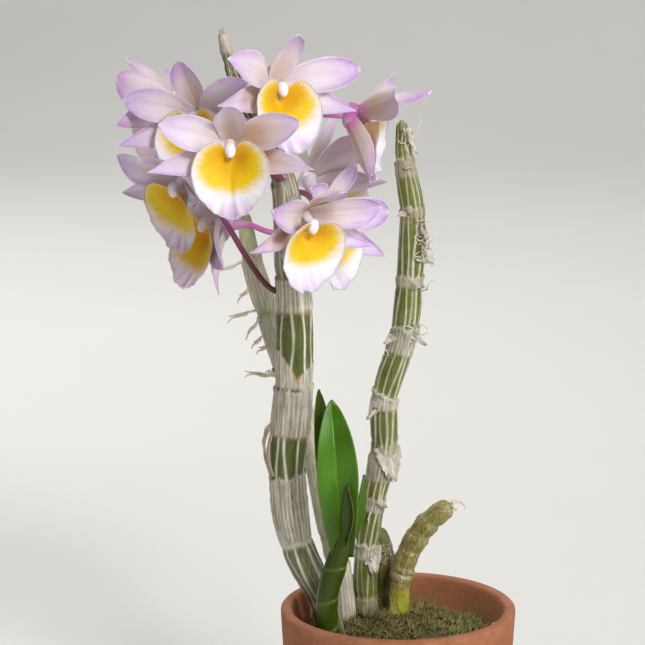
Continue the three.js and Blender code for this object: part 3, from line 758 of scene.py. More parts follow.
# Each cane is a chain of nodes (x, y, z, radius). veins are its raised fibres, vein is how pale they are,
# sides and step are how finely it is drawn, and rough is how warty it is. Up its length it has sheaths (foot,
# torn edge, opacity, slant, flare, scar at the foot), silver (foot, top, shine) and rings (height, strength),
# which are bare node scars. neck is a sheath cut down to a V, with the rise to each side of the cut. flaps
# (place, turn, length, width, lean from upright, curl) are torn bits of sheath, and straps (top, middle,
# bottom, width) are peeled strips. Turns and leans are in degrees.
CANES = {
    "flowering": {
        "nodes": [
            (-16.5, 2, 42, 3.0), (-21.5, 1, 61, 3.5), (-29.1, 0, 79, 4.4), (-31.5, 0, 98.7, 5.0),
            (-29.6, 0, 126, 5.2), (-30, 0, 155, 4.7), (-33, 2, 184, 3.1), (-41.6, 8.5, 198.5, 2.4),
            (-47.2, 11.5, 213, 1.7), (-49.8, 12, 223, 0.7),
        ],
        "sheaths": [
            (38, 77.5, 0.15, 0.5, 0, 0), (78.6, 98.7, 0.85, 1.0, 0.35, -0.5),
            (110.7, 124, 0.85, 0.8, 0.5, 0.75), (146.4, 155.8, 0.62, 0.6, 0.1, 0.9),
            (156.8, 183, 0.32, 2.5, 0.2, 0.3), (184, 196, 0.2, 1, 0.2, 0.3), (217, 230, 0.9, 1, 0, 0.3),
        ],
        "neck": {"foot": 124, "edge": 127.2, "turn": 278, "rise": (9.0, 4.6), "opacity": 0.7},
        "silver": [
            (79, 87, 0.6), (111, 123.4, 0.5), (146.8, 155.4, 0.95), (158, 181, 0.4), (185, 195, 0.7),
            (217, 230, 0.8),
        ],
        "rings": [(91.6, 0.12), (155.9, 0.8), (183, 0.5), (198.5, 0.5), (213, 0.2)],
        "veins": 10, "vein": 1.0, "sides": 112, "step": 0.5,
        "flaps": [
            ((-24.6, 0.2, 65.5), 205, 9, 3.0, 172, 1.2), ((-26.4, -2.2, 123.8), 330, 2.2, 1.6, 62, 0.3),
            ((-49.3, 11.2, 220.6), 250, 3.0, 2.4, 4, 0.5), ((-49.4, 11.9, 220.2), 10, 3.6, 2.2, -8, 0.6),
            ((-49.6, 12.3, 219.6), 130, 3.2, 2.4, 10, 0.5),
        ],
        "straps": [
            ((-35.6, -1.6, 113.8), (-37.9, -1.4, 107.5), (-36.0, -1.6, 98.0), 2.2),
            ((-35.4, -2.4, 112.0), (-36.8, -2.6, 105), (-34.8, -2.8, 98.2), 1.4),
            ((-23.2, -2.2, 66.0), (-24.2, -2.0, 61.0), (-19.4, -1.9, 50.0), 1.8),
        ],
    },
    "rear": {
        "nodes": [
            (-14.2, 9.6, 42, 2.4), (-15.7, 9, 61.7, 2.9), (-18.8, 10.5, 76, 3.3), (-23.8, 13.5, 101, 3.2),
            (-31, 15.5, 123, 3.2), (-37.7, 17, 143.2, 3.0), (-42, 18, 158, 2.6), (-44, 18.5, 171, 1.6),
        ],
        "sheaths": [
            (38, 67, 0.95, 2, 0.3, 0), (78, 100.5, 0.35, 2, 0.2, 0.3), (101.5, 121, 0.5, 2, 0.3, 0.3),
            (123.5, 142, 0.6, 1.5, 0.4, 0.3), (144, 157, 0.8, 1, 0.4, 0.3),
        ],
        "rings": [(70, 0.6), (77, 0.3), (158, 0.4)],
        "veins": 9, "vein": 0.35, "sides": 72, "step": 0.7,
        "flaps": [((-33.6, 14.5, 123), 190, 4, 3, 40, 1.0)],
    },
    "right": {
        "nodes": [
            (-8, 12.6, 42, 3.0), (-9, 12, 57.7, 3.3), (-9, 12, 72.5, 3.1), (-6.7, 12, 87.8, 3.0),
            (-4.1, 12, 103.5, 3.7), (-3.7, 12, 118.6, 3.7), (1.4, 12, 136.5, 3.6), (3.0, 13, 151, 3.7),
            (3.7, 13, 171.7, 3.5), (1.6, 13.8, 185.1, 2.6), (0.6, 16.4, 197.4, 1.3),
        ],
        "sheaths": [
            (54, 58.5, 0.3, 0.4, 0.1, 0), (70.5, 74.6, 0.95, 1.0, 0.7, 0), (84.8, 88.3, 0.8, 0.5, 0.4, 0),
            (94, 103.6, 0.6, 4, 0.3, 0.2), (115.2, 119.2, 0.85, -1.6, 0.8, 0),
            (131.5, 138.4, 0.8, 1.6, 0.8, 0.15), (150.6, 153.2, 0.7, 0.8, 0.5, 0.2),
            (170.6, 173.2, 0.4, 0.6, 0.2, 0.3), (182, 186.5, 0.5, 1, 0.5, 0.3),
        ],
        "rings": [(58.4, 0.45), (104.2, 0.2), (172, 0.55), (185.8, 0.4)],
        "veins": 12, "vein": 0.85, "sides": 96, "step": 0.55,
        "flaps": [
            ((-6.8, 9.0, 74.8), 290, 8.2, 6.0, 160, 2.0), ((-2.2, 8.9, 104.4), 300, 9.4, 8.4, 160, 1.2),
            ((-6.6, 9.4, 119.4), 222, 7.0, 5.0, 150, 1.2), ((-5.8, 9.0, 119.0), 240, 3.4, 5.0, 135, 1.4),
            ((4.2, 10.2, 137.6), 325, 5.5, 3.6, 118, 1.2), ((-2.0, 10.2, 137.6), 215, 4.0, 4.6, 130, 1.2),
            ((6.0, 11.0, 160.0), 325, 4.6, 4.4, 110, 1.5), ((1.2, 10.4, 172.6), 228, 3.0, 3.6, 112, 0.6),
            ((3.6, 12.4, 196.0), 325, 7, 2.8, 160, 1.4), ((-4.6, 9.0, 88.2), 310, 3.0, 3.0, 110, 0.8),
        ],
    },
    "stub": {
        "nodes": [
            (0.2, 11.6, 42, 2.4), (0.8, 11, 62.2, 2.8), (1.4, 11, 66.6, 3.1), (3.1, 10, 72.5, 3.2),
            (7, 9, 79.7, 3.2), (10.1, 8, 83.5, 3.1), (15.2, 6.4, 88, 2.4),
        ],
        "sheaths": [(64, 67, 0.12, 0.8, 0.1, 0)],
        "rings": [(62.6, 0.45), (67.7, 0.4), (72.8, 0.5), (77.4, 0.3), (81.8, 0.45), (86.4, 0.4)],
        "veins": 9, "vein": 0.2, "sides": 72, "step": 0.5, "rough": 0.15,
    },
    "dark_stub": {
        "nodes": [(-2.8, 18.8, 42, 2.5), (-3, 18.8, 58, 2.9), (-3.5, 18.8, 69, 3.1), (-5.4, 18.8, 78, 1.7)],
        "sheaths": [],
        "rings": [(58, 0.6), (69, 0.5)],
        "veins": 9, "vein": 0.12, "sides": 56, "step": 0.7, "rough": 0.1,
    },
}

# Loose curly fibres on the right cane: where each tuft sits, the turn it leaves at, and how many.
TUFTS = [
    ((5.6, 10.2, 166.5), 315, 16), ((6.2, 10.6, 161.5), 320, 16), ((4.2, 10.2, 137.0), 330, 14),
    ((5.9, 12.0, 150.5), 340, 4), ((1.8, 13.4, 193.5), 335, 9), ((-1.8, 11.0, 131.5), 200, 3),
    ((-5.8, 9.5, 88.0), 230, 2), ((-7.6, 9.6, 73.5), 240, 3),
]

# Dormant buds on the right cane: place, turn and size.
EYES = [((1.9, 11.4, 184.6), 275, 1.5), ((4.8, 9.9, 151.6), 305, 1.7), ((3.0, 9.6, 172.6), 265, 1.0)]

# Air roots on the rear cane: start, direction and length.
AIR_ROOTS = [
    ((-43.5, 17.5, 156.5), (-0.96, -0.2, -0.25), 9.0), ((-39.4, 16.2, 143.0), (-0.93, -0.3, -0.2), 11.0),
    ((-33.0, 15.4, 123.4), (-0.98, 0.1, 0.1), 12.0), ((-41.6, 15.6, 149.5), (-0.8, -0.3, -0.6), 6.0),
    ((-39.0, 14.8, 141.0), (-0.7, -0.2, -0.8), 7.5), ((-37.6, 14.6, 136.0), (-0.8, -0.3, -0.5), 6.0),
    ((-36.2, 14.4, 132.5), (-0.9, -0.3, -0.1), 5.0), ((-34.0, 14.6, 124.6), (-0.8, -0.4, 0.3), 5.0),
]

# Bracts at the foot of the flower stalks, on the upper stretch of the flowering cane: height and turn.
BRACTS = [(161, 250), (164, 285), (170, 230), (176, 300), (183, 262), (191, 300), (193, 235), (197, 340)]


def cane_rings(cane, step):
    """Centres and plain radii along a cane, about a step apart."""
    nodes = cane["nodes"]
    at = spline(nodes)
    centres, radii = [], []
    for i, (low, high) in enumerate(zip(nodes, nodes[1:])):
        count = max(4, round((Vector(high[:3]) - Vector(low[:3])).length / step))
        for c in range(count + (i == len(nodes) - 2)):
            t = c / count
            swell = 0.95 + 0.12 * math.sin(math.pi * clamp(t)) ** 0.7
            centres.append(at(i + t))
            radii.append(mix(low[3], high[3], t) * swell)
    return centres, radii


def make_cane(name, cane, settings, material, slot):
    """A cane with its sheaths, and the flaps, fibres, buds or roots that grow on it."""
    draw = random.Random(name)
    piece = Piece("vein", "paper", "ring", "scurf")
    centres, radii = cane_rings(cane, cane["step"])
    veins = [
        (TURN * (v + draw.uniform(-0.24, 0.24)) / cane["veins"], draw.uniform(0.6, 1.5))
        for v in range(cane["veins"])
    ]
    relief = settings.vein_relief / MM
    shell = settings.sheath_thickness / MM
    rough = cane.get("rough", 0.05)
    neck, silver = cane.get("neck"), cane.get("silver", [])
    seed = draw.uniform(0, 50)

    def shape(i, turn, out):
        centre, radius, z = centres[i], radii[i], centres[i].z
        round_it = level(turn)

        def around(scale, height=0.0):
            return noise.noise(round_it * scale + raised(height + seed))

        fine, jag = around(9, z * 0.06), around(2.5) + 0.4 * around(11)
        # Raised fibres, which widen at the foot of a very silvery stretch.
        line, flared = 0.0, 1.0
        for low, high, shine in silver:
            flared += 2.4 * max(0, shine - 0.5) * smooth(low + 4.5, low, z) * smooth(low - 1, low, z)
        for place, width in veins:
            drift = 0.09 * math.sin(z * 0.13 + place * 3) + 0.05 * math.sin(z * 0.31 + place * 7)
            away = abs(wrapped(turn - place + drift))
            fade = 0.75 + 0.5 * noise_at(place * 4, z * 0.09, seed)
            breadth = 0.3 * width * min(1, radius / 4) * flared
            line = max(line, bell(away * radius / breadth) * min(1, fade))
        # Sheaths: how opaque, how far they stand off, the scar at the foot and the pale rim at the torn edge.
        paper, stand, ring, rim, fan = 0.0, 0.0, 0.0, 0.0, 0.0
        for foot, edge, opacity, slant, flare, scar in cane["sheaths"]:
            top = edge + slant * (out.x * 0.7 + 0.5 * jag) + 0.8 * jag
            ring = max(ring, bell((z - foot + 0.4 + 0.6 * jag) / 0.5) * (0.7 + 0.7 * jag) * scar)
            rim = max(rim, -scar * bell((z - foot - 0.3 + 0.4 * jag) / 0.9))
            cover = smooth(foot - 0.5, foot + 0.3, z) * smooth(top + 0.45, top - 0.35, z)
            paper = max(paper, cover * opacity * (0.85 + 0.5 * fine))
            stand = max(stand, cover * (shell + flare * smooth(1.6, 0, top - z) * (0.6 + 0.8 * jag)))
            rim = max(rim, cover * flare * 0.8 * smooth(0.6, 0.1, top - z))
        if neck:
            turned = wrapped(math.atan2(out.y, out.x) - math.radians(neck["turn"]))
            rise = neck["rise"][turned > 0] * math.sin(min(abs(turned), 1.57)) ** 0.9
            top = neck["edge"] + rise + 0.3 * jag
            cover = smooth(neck["foot"], neck["foot"] + 1, z) * smooth(top + 0.2, top - 0.2, z)
            paper = max(paper, cover * neck["opacity"])
            fan = cover * smooth(0.3, 0.7, abs(turned)) * smooth(1.9, 1.4, abs(turned))
            stand = max(stand, cover * shell * 0.8)
            ring = max(ring, 0.9 * bell((z - top) / 0.6) * smooth(0.5, 0.1, abs(turned)))
        # Bare node scars, and the warts, wrinkles and scurf between them.
        groove = 0.0
        for height, strength in cane["rings"]:
            near = bell((z - height + 0.5 * jag) / 0.55)
            ring = max(ring, near * strength)
            groove += near * 0.12 - 0.2 * bell((z - height - 1.3) / 0.8)
        warts = noise_at(out.x * 6, out.y * 6, z * 0.8 + seed)
        wrinkle = fine * 0.08 + around(2, z * 0.03) * 0.12 + 2 * rough * warts
        scurf = smooth(0.0, 0.5, noise.noise(centre * 0.16 + out * 0.8)) * (1 - paper * 0.8)
        scurf *= 0.15 if rough < 0.09 else 0.8
        for height, _ in cane["rings"] if rough > 0.09 else ():
            crust = noise_at(out.x * 3, out.y * 3, z * 0.5 + seed)
            scurf = max(scurf, 0.6 * bell((z - height - 0.8) / 1.5) * smooth(-0.35, 0.3, crust))
        # Hairlines, some of them slanted, and the even ribs of dry sheath.
        slant = turn + 0.07 * z
        slanted = noise_at(11 * math.cos(slant), 11 * math.sin(slant), z * 0.02 + seed + 9)
        hairline = max(smooth(0.12, 0.42, around(13, z * 0.025)), 0.8 * smooth(0.25, 0.5, slanted))
        rib = (0.5 + 0.5 * math.cos(cane["sides"] // 4 * turn + 1.6 * around(1.5, z * 0.03))) ** 2
        rib *= 0.65 + 0.7 * around(5, z * 0.12)
        if fan:
            across = 0.5 + 0.5 * math.cos(9 * abs(turned) + 0.42 * (z - neck["edge"]) + 1.5 * jag)
            line = max(line, fan * across**7)
        bold = min(line, 1)
        line *= (1 - 0.75 * paper) * mix(0.6, 1, smooth(60, 80, z))
        line = max(cane["vein"] * max(line, 0.5 * hairline * paper), 0.9 * rib * paper)
        for low, high, shine in silver:
            here = smooth(low - 1.5, low + 1, z) * smooth(high + 0.5, high - 0.5, z)
            line = max(line, here * shine * max(0.1 + 0.9 * max(rib, 0.6 * hairline), bold * (shine > 0.9)))
        end = smooth(0, 2.5, len(centres) - 1 - i) if i > len(centres) - 4 else 1
        return (
            (radius + stand + groove + wrinkle + relief * line) * mix(0.35, 1, end),
            min(max(line, rim), 1), clamp(paper), clamp(ring * (0.75 + fine)), scurf,
        )

    tube(piece, centres, cane["sides"], shape)
    for flap in cane.get("flaps", []):
        torn_flap(piece, *flap, draw)
    for *places, width in cane.get("straps", []):
        strap(piece, *(Vector(p) for p in places), width, draw)
    if name == "right":
        for tuft in TUFTS:
            fibre_tuft(piece, *tuft, draw)
        for eye in EYES:
            bud_eye(piece, *eye, draw)
    if name == "rear":
        for root in AIR_ROOTS:
            air_root(piece, *root, draw)
    if name == "flowering":
        for height, turn in BRACTS:
            bracts(piece, centres, radii, height, turn, draw)
    if name == "stub":
        torn_end(piece, draw)
    piece.build(f"cane_{name}_skin", material, slot, f"cane_{name}")


def torn_flap(piece, at, turn, length, width, lean, curl, draw):
    """A torn piece of papery sheath. lean is its slant from upright in degrees, so over 90 hangs down."""
    away = heading(turn)
    side = away.cross(raised(1))
    way = away * math.sin(math.radians(lean)) + raised(math.cos(math.radians(lean)))
    face = way.cross(side)
    root = Vector(at) - away * 0.5
    wrap = -0.3 if lean < 90 else 0.3
    seed = draw.uniform(0, 90)

    def place(s, t):
        torn = 0.25 * noise_at(s * 4, t * 0.5, seed) + 0.2 * noise_at(s * 13, t, seed)
        half = width / 2 * (1 - 0.75 * s**2) * (1 + torn)
        ragged = 1 + (0.2 * noise_at(t * 5, seed, 0) + 0.15 * noise_at(t * 13, seed, 4)) * s
        fold = wrap * half * t * t
        ripple = 0.3 * noise_at(s * 3.1, t * 1.7, seed + 7)
        ripple += 0.05 * width * noise_at(s * 4, t * 3.3, seed + 2)
        bulge = fold + ripple + curl * math.sin(s * 2.6) * 0.5
        return root + way * length * s * ragged + side * half * t + face * bulge

    def values(s, t, front):
        stripe = smooth(-0.1, 0.4, noise_at(t * 6, s * 0.7, seed))
        return 0.2 + 0.4 * stripe, 0.95, 0.12 * smooth(0.25, 0, s), 0.0

    sheet(piece, place, 22, 14, lambda s, t: 0.3 - 0.16 * abs(t) ** 3, values)


def strap(piece, high, middle, low, width, draw):
    """A strip of sheath that has peeled off in the middle and still holds at both ends."""
    line = bezier(high, middle * 2 - (high + low) / 2, low)
    bow = (middle - (high + low) / 2).normalized()
    side = ((low - high).cross(bow).normalized() + bow * 1.2).normalized()
    seed = draw.uniform(0, 90)

    def place(s, t):
        half = width / 2 * (0.7 + 0.5 * noise_at(s * 5, seed, 0))
        curl = 0.25 * noise_at(s * 4, t, seed)
        return line(s) + side * half * t + bow * (0.35 * half * t * t + curl)

    def values(s, t, front):
        return 0.4 * abs(t) ** 3, 1.0, 0.22, 0.0

    sheet(piece, place, 26, 8, lambda s, t: 0.3 - 0.12 * abs(t) ** 3, values)


def fibre_tuft(piece, root, turn, count, draw):
    """Curly dry fibres that stand off a torn sheath."""
    away = heading(turn)
    for _ in range(count):
        start = Vector(root) - away * 0.9 + raised(draw.uniform(-2.4, 2.4))
        middle = start + away * 2.0
        loops = [middle + scatter(draw, (-1, 1), (-1, 1), (-1.2, 1.2)) * 3.4 for _ in range(5)]
        curve = bezier(start, start + away * 1.5, *loops)
        strand(piece, curve, 28, [0.26, 0.24, 0.22, 0.2, 0.14], 6, 0.5, 0.95, 0.0, 0.0)


def bud_eye(piece, at, turn, size, draw):
    """A dormant bud: a small warty swelling under a few torn scales."""
    away, at = heading(turn), Vector(at)
    rings = [(-0.8, 0.9), (-0.3, 1.0), (0.1, 0.85), (0.4, 0.5), (0.55, 0.15)]  # reach and radius

    def shape(i, way, out):
        return size * rings[i][1] * (1 + 0.35 * noise.noise(out * 1.7 + at)), 0.3, 0.6, 0.5, 0.4

    tube(piece, [at + away * size * reach for reach, _ in rings], 16, shape)
    for _ in range(3):
        side, lean = turn + draw.uniform(-50, 50), draw.uniform(20, 120)
        torn_flap(piece, at + away * 0.3, side, size * 1.6, size * 1.3, lean, 0.3, draw)


def sway(place):
    """A small shift that changes slowly from place to place, the same in every run."""
    return Vector([noise.noise(place + raised(apart)) for apart in (0, 40, 80)])


def air_root(piece, start, way, reach, draw):
    """A bare root with a rough, corky coat, forked once."""
    start, way = Vector(start), Vector(way).normalized()
    seed, steps = draw.uniform(0, 50), 30
    for share, swing in ((1.0, 0.5), (0.55, -1.4)):
        begin = start - way * 1.4 if share == 1.0 else start + way * reach * 0.35
        drift = Vector((0, 0.3, swing))
        curve = bezier(
            begin,
            begin + way * reach * 0.4 * share + drift,
            begin + way * reach * 0.8 * share - drift * 0.6,
            begin + way * reach * share + drift,
        )
        plain = [curve(i / steps) for i in range(steps + 1)]
        centres = [p + 0.5 * sway(p * 0.35) * smooth(0, 8, i) for i, p in enumerate(plain)]

        def shape(i, turn, out):
            lumpy = 1 + 0.45 * noise.noise(centres[i] * 0.9 + out * 1.2 + Vector((seed, 0, 0)))
            return 0.5 * (1 - 0.7 * i / steps) * lumpy, 0.8, 0.95, 0.1, 0.3

        tube(piece, centres, 12, shape)


def bracts(piece, centres, radii, height, turn, draw):
    """Two brown bracts at the foot of a flower stalk."""
    i = next(n for n, centre in enumerate(centres) if centre.z > height)
    at = centres[i] + heading(turn) * radii[i]
    spans = ((-25, 25), (2.6, 4.2), (2.2, 3.2), (15, 40))
    for _ in range(2):
        side, length, width, lean = (draw.uniform(*span) for span in spans)
        torn_flap(piece, at, turn + side, length, width, lean, 0.5, draw)


def torn_end(piece, draw):
    """The hook and the splinters at the cut end of the stub."""
    hook = bezier(Vector((15.4, 6.2, 88.6)), Vector((18.6, 6.0, 90.4)), Vector((19.4, 6.0, 86.6)))
    strand(piece, hook, 12, [0.7, 0.55, 0.4, 0.12], 8, 0.7, 0.8, 0.0, 0.3)
    start = Vector((15.2, 6.2, 88.2))
    for _ in range(5):
        away = scatter(draw, (0.4, 1), (-0.6, 0.6), (-1, 0.2))
        curve = bezier(start, start + away * 1.4, start + away * 1.6 + Vector((0.3, 0, -0.8)))
        strand(piece, curve, 6, [0.5, 0.35, 0.1], 6, 0.5, 0.9, 0.1, 0.3)


# ---------- new growth ----------

# The stem is a chain of nodes (x, y, z, radius). The first leaf's width is a setting.
# A leaf's shade is painted shade, for the leaves that lie behind or in shadow.
SHOOT = {
    "stem": [
        (-19.2, -13.2, 44, 2.5), (-19.9, -14.6, 57, 2.9), (-20.4, -15, 66, 2.9), (-18.2, -15, 75.5, 3.0),
        (-16.2, -15, 82, 2.7), (-15.4, -15, 86.5, 1.6),
    ],
    "rings": (57.5, 66.2, 75.9),
    "leaves": [
        {"line": [(-16, -15, 79), (-17.2, -17, 96), (-18, -17, 110), (-19.1, -14.6, 123.8)],
         "face": (0.1, -1, 0), "fold": 0.22, "shade": 0.0},
        {"line": [(-15.4, -15, 80), (-12.3, -12.6, 90), (-9.9, -11.6, 101.6)], "width": 3.8,
         "face": (0.8, -0.6, 0.2), "fold": 0.4, "shade": 0.25},
        {"line": [(-15.2, -15.6, 82), (-13.4, -18.6, 92), (-14.6, -19.6, 101)], "width": 4.0,
         "face": (-0.7, -0.7, 0), "fold": 0.4, "shade": 1.0},
        {"line": [(-16.4, -14.2, 80), (-19.5, -9, 100), (-22.6, -7, 125)], "width": 6.6,
         "face": (-0.2, -1, 0), "fold": 0.2, "shade": 0.9},
    ],
}


def outline(s, base, peak, point, taper=1.3):
    """Half the width of a blade, as a share, from its base at 0 to its tip at 1."""
    if s < peak:
        return base + (1 - base) * math.sin(math.pi / 2 * s / peak)
    return max(0.02, (1 - ((s - peak) / (1 - peak)) ** point) ** (taper / point))


def make_shoot(settings):
    piece = Piece("vein", "shade", "edge")
    stem = SHOOT["stem"]
    at = spline(stem)
    steps = 130
    places = [i / steps * (len(stem) - 1) for i in range(steps + 1)]
    centres = [at(p) for p in places]

    def stem_shape(i, turn, out):
        low = min(int(places[i]), len(stem) - 2)
        radius = mix(stem[low][3], stem[low + 1][3], places[i] - low)
        z = centres[i].z
        step, line = 0.0, 0.0
        for height in SHOOT["rings"]:
            top = height + 1.2 * out.x
            step += 0.2 * smooth(top + 0.2, top - 0.2, z) * smooth(top - 10, top, z)
            line = max(line, 0.6 * bell((z - top) / 0.5))
        ridge = math.sin(turn * 22)
        foot = smooth(56, 50, z)
        return radius + step + 0.05 * ridge, 0.1 + 0.1 * ridge + 0.5 * foot, 1 - 0.5 * foot, line * 0.5

    tube(piece, centres, 72, stem_shape)
    for n, leaf in enumerate(SHOOT["leaves"]):
        blade(piece, leaf, leaf.get("width", settings.leaf_width / MM), n)
    piece.build("new_growth_leaves", leaf_material(settings), "leaf", "new_growth")


def blade(piece, leaf, width, seed):
    """A folded leaf with parallel veins, clasping the stem at its base."""
    at = spline(leaf["line"])
    last = len(leaf["line"]) - 1
    face = Vector(leaf["face"]).normalized()

    def place(s, t):
        centre = at(s * last)
        along = (at(min(s + 0.01, 1) * last) - at(max(s - 0.01, 0) * last)).normalized()
        normal = (face - along * face.dot(along)).normalized()
        side = along.cross(normal)
        half = width / 2 * outline(s, 0.5, 0.5, 1.9)
        lift = leaf["fold"] * half * abs(t) ** 1.3 * 2
        crease = -0.22 * bell(t / 0.08) * smooth(1, 0.85, s)
        wave = 0.18 * math.sin(s * 9 + seed * 2 + (1.6 if t > 0 else 0)) * abs(t) ** 3
        return centre + side * half * t + normal * (lift + crease + wave)

    def values(s, t, front):
        stripes = 0.5 + 0.5 * math.cos(t * math.pi * 13)
        middle = bell(t / 0.05)
        # Painted shade: darker towards the base, on the right half, and all over the leaves that lie in
        # shadow.
        shade = leaf["shade"] + 0.95 * smooth(0.5, 0.0, s) + 0.25 * (t > 0)
        return max(stripes * 0.32, middle), min(1, shade), smooth(0.93, 1, abs(t)) * 0.3

    sheet(piece, place, 60, 26, lambda s, t: 0.75 - 0.5 * abs(t) ** 2.5, values)


# ---------- blooms, in their own frame: +X right, +Y up, +Z the way they face ----------

# angle is from straight up, cup is how far the tip comes forward, and base, peak and point shape the edge.
TEPALS = {
    "dorsal": {
        "root": (0, 0.8, -1), "angle": 0, "cup": 57, "reach": 17.4, "arch": -1.6, "width": 8.6,
        "base": 0.5, "peak": 0.55, "point": 2.3,
    },
    "petal": {
        "root": (0.8, 0.3, -1), "angle": 75, "cup": 22, "reach": 20.8, "arch": 1.2, "width": 9.4,
        "base": 0.34, "peak": 0.56, "point": 2.1,
    },
    "sepal": {
        "root": (0.9, -3, -3.6), "angle": 109, "cup": 15, "reach": 23.8, "arch": 0.8, "width": 7.6,
        "base": 0.66, "peak": 0.4, "point": 1.6,
    },
}

LIP = {
    "radius": (10.2, 10.6),
    "centre": (0, -9.5, 5.3),
    "dish": 3.0,
    "heart": 0.16,
    "throat": (4.8, 3.3, 12.0),  # place along the lip, depth, spread
    "cleft": (0.54, 11.0),  # depth as a share, half angle in degrees
    "rings": 26,
    "sectors": 168,
    "hairs": 420,
}
CLAW = {"from": (0, -5.3, -1), "to": (0, -6.6, 0.2), "radius": 0.9}


def flower(centre, turned, dorsal, seat, lilac, **more):
    """What is known of a bloom: its centre, its yaw, pitch and roll, how far its dorsal sepal leans over,
    the height and side of the flowering cane where its stalk starts, and how deeply it is coloured. shade is
    how much painted shade its tepals get, chin and gold are strengths of colour, wine is how far its stalk
    darkens towards the cane, its darkest wine being painted shade, lip is the yaw and roll of its lip, lift
    and back are where its stalk leaves it, and leans is what sets single sepals and petals apart, extra
    painted shade included."""
    bloom = {"centre": centre, "turned": turned, "dorsal": dorsal, "seat": seat, "lilac": lilac}
    plain = {"shade": 1, "chin": 0, "wine": 0.75, "gold": 1, "lip": (0, 0), "lift": 0, "back": 8, "leans": {}}
    return {**bloom, **plain, **more}


# A bloom's shade, and the extra beige that leans give single tepals, are painted shade, for tepals that lie
# in shadow or are seen against shade.
BLOOMS = {
    "front": flower(
        (-46, -34, 198.3), (1, 10, -1), 57, (183, 262), 0.8, shade=1.8,
        leans={"petal_right": {"extra_painted_shade": 1.25}, "sepal_right": {"extra_painted_shade": 1.15}},
    ),
    "top": flower(
        (-34.3, -16, 211.6), (34, 16, 6), 52, (196, 300), 1.0,
        leans={
            "petal_right": {"angle": 6, "cup": 20, "reach": 24.5, "extra_painted_shade": 0.15}, "dorsal": {"extra_painted_shade": 0.3},
            "petal_left": {"extra_painted_shade": 0.35}, "sepal_left": {"extra_painted_shade": 0.5},
        },
    ),
    "right": flower(
        (-10.9, -1.5, 202.5), (80, -8, -15), 66, (192, 340), 1.3, lip=(2, 9), chin=0.4,
        leans={
            "dorsal": {"reach": 20.5}, "petal_right": {"cup": 15},
            "petal_left": {"angle": -26, "cup": 34, "roll": -18, "extra_painted_shade": 0.8},
            "sepal_left": {"angle": 14, "cup": 19, "roll": 32, "extra_painted_shade": 0.6},
        },
    ),
    "upper_left": flower((-56.3, 2, 201), (-21, 18, -10), 46, (193, 235), 1.0, shade=2.0),
    "far_left": flower((-64.5, 17, 204), (-114, -2, -5), 53, (198, 175), 1.5),
    # The left bloom's stalk is darkened all the way to the darkest wine, which is painted shade.
    "left": flower(
        (-59.8, -17, 186.2), (-50, -20, 7), 46, (151, 192), 0.9, lip=(0, -5), lift=-11, wine=1.0, gold=1.2,
        leans={"sepal_right": {"angle": -24, "cup": 25, "reach": 20}, "petal_left": {"cup": 20}},
    ),
    "low_left": flower(
        (-51, -3, 172.2), (-62, 12, 8), 12, (168, 212), 1.0, lip=(8, 0), lift=4, wine=0.4, gold=1.2,
        leans={
            "dorsal": {"angle": -22}, "sepal_right": {"angle": 44, "cup": -2, "reach": 21, "roll": 24},
            "petal_right": {"angle": 40, "cup": 10, "roll": 20},
        },
    ),
    "low_right": flower(
        (-25.8, -28, 178), (38, -14, 4), 47, (164, 285), 1.1, wine=0.95,
        leans={
            "dorsal": {"extra_painted_shade": 0.6}, "petal_left": {"extra_painted_shade": 0.6}, "petal_right": {"extra_painted_shade": 0.5},
            "sepal_left": {"extra_painted_shade": 0.8},
        },
    ),
    "low_right_rear": flower((-20.8, -0.2, 172.4), (53, 6, 17), 30, (159, 15), 1.0, back=2),
    "back": flower((-23.7, 21, 181.6), (132, 28, 9), 56, (178, 30), 0.9, back=4, lift=-8),
}


def bloom_frame(bloom):
    """The matrix from a bloom's own frame to the plant's, in millimetres."""
    yaw, pitch, roll = (math.radians(v) for v in bloom["turned"])
    facing = Vector((math.sin(yaw) * math.cos(pitch), -math.cos(yaw) * math.cos(pitch), math.sin(pitch)))
    across = level(yaw)
    rise = facing.cross(across)
    up = rise * math.cos(roll) + across * math.sin(roll)
    right = across * math.cos(roll) - rise * math.sin(roll)
    turn = Matrix((right, up, facing)).transposed().to_4x4()
    return Matrix.Translation(Vector(bloom["centre"])) @ turn


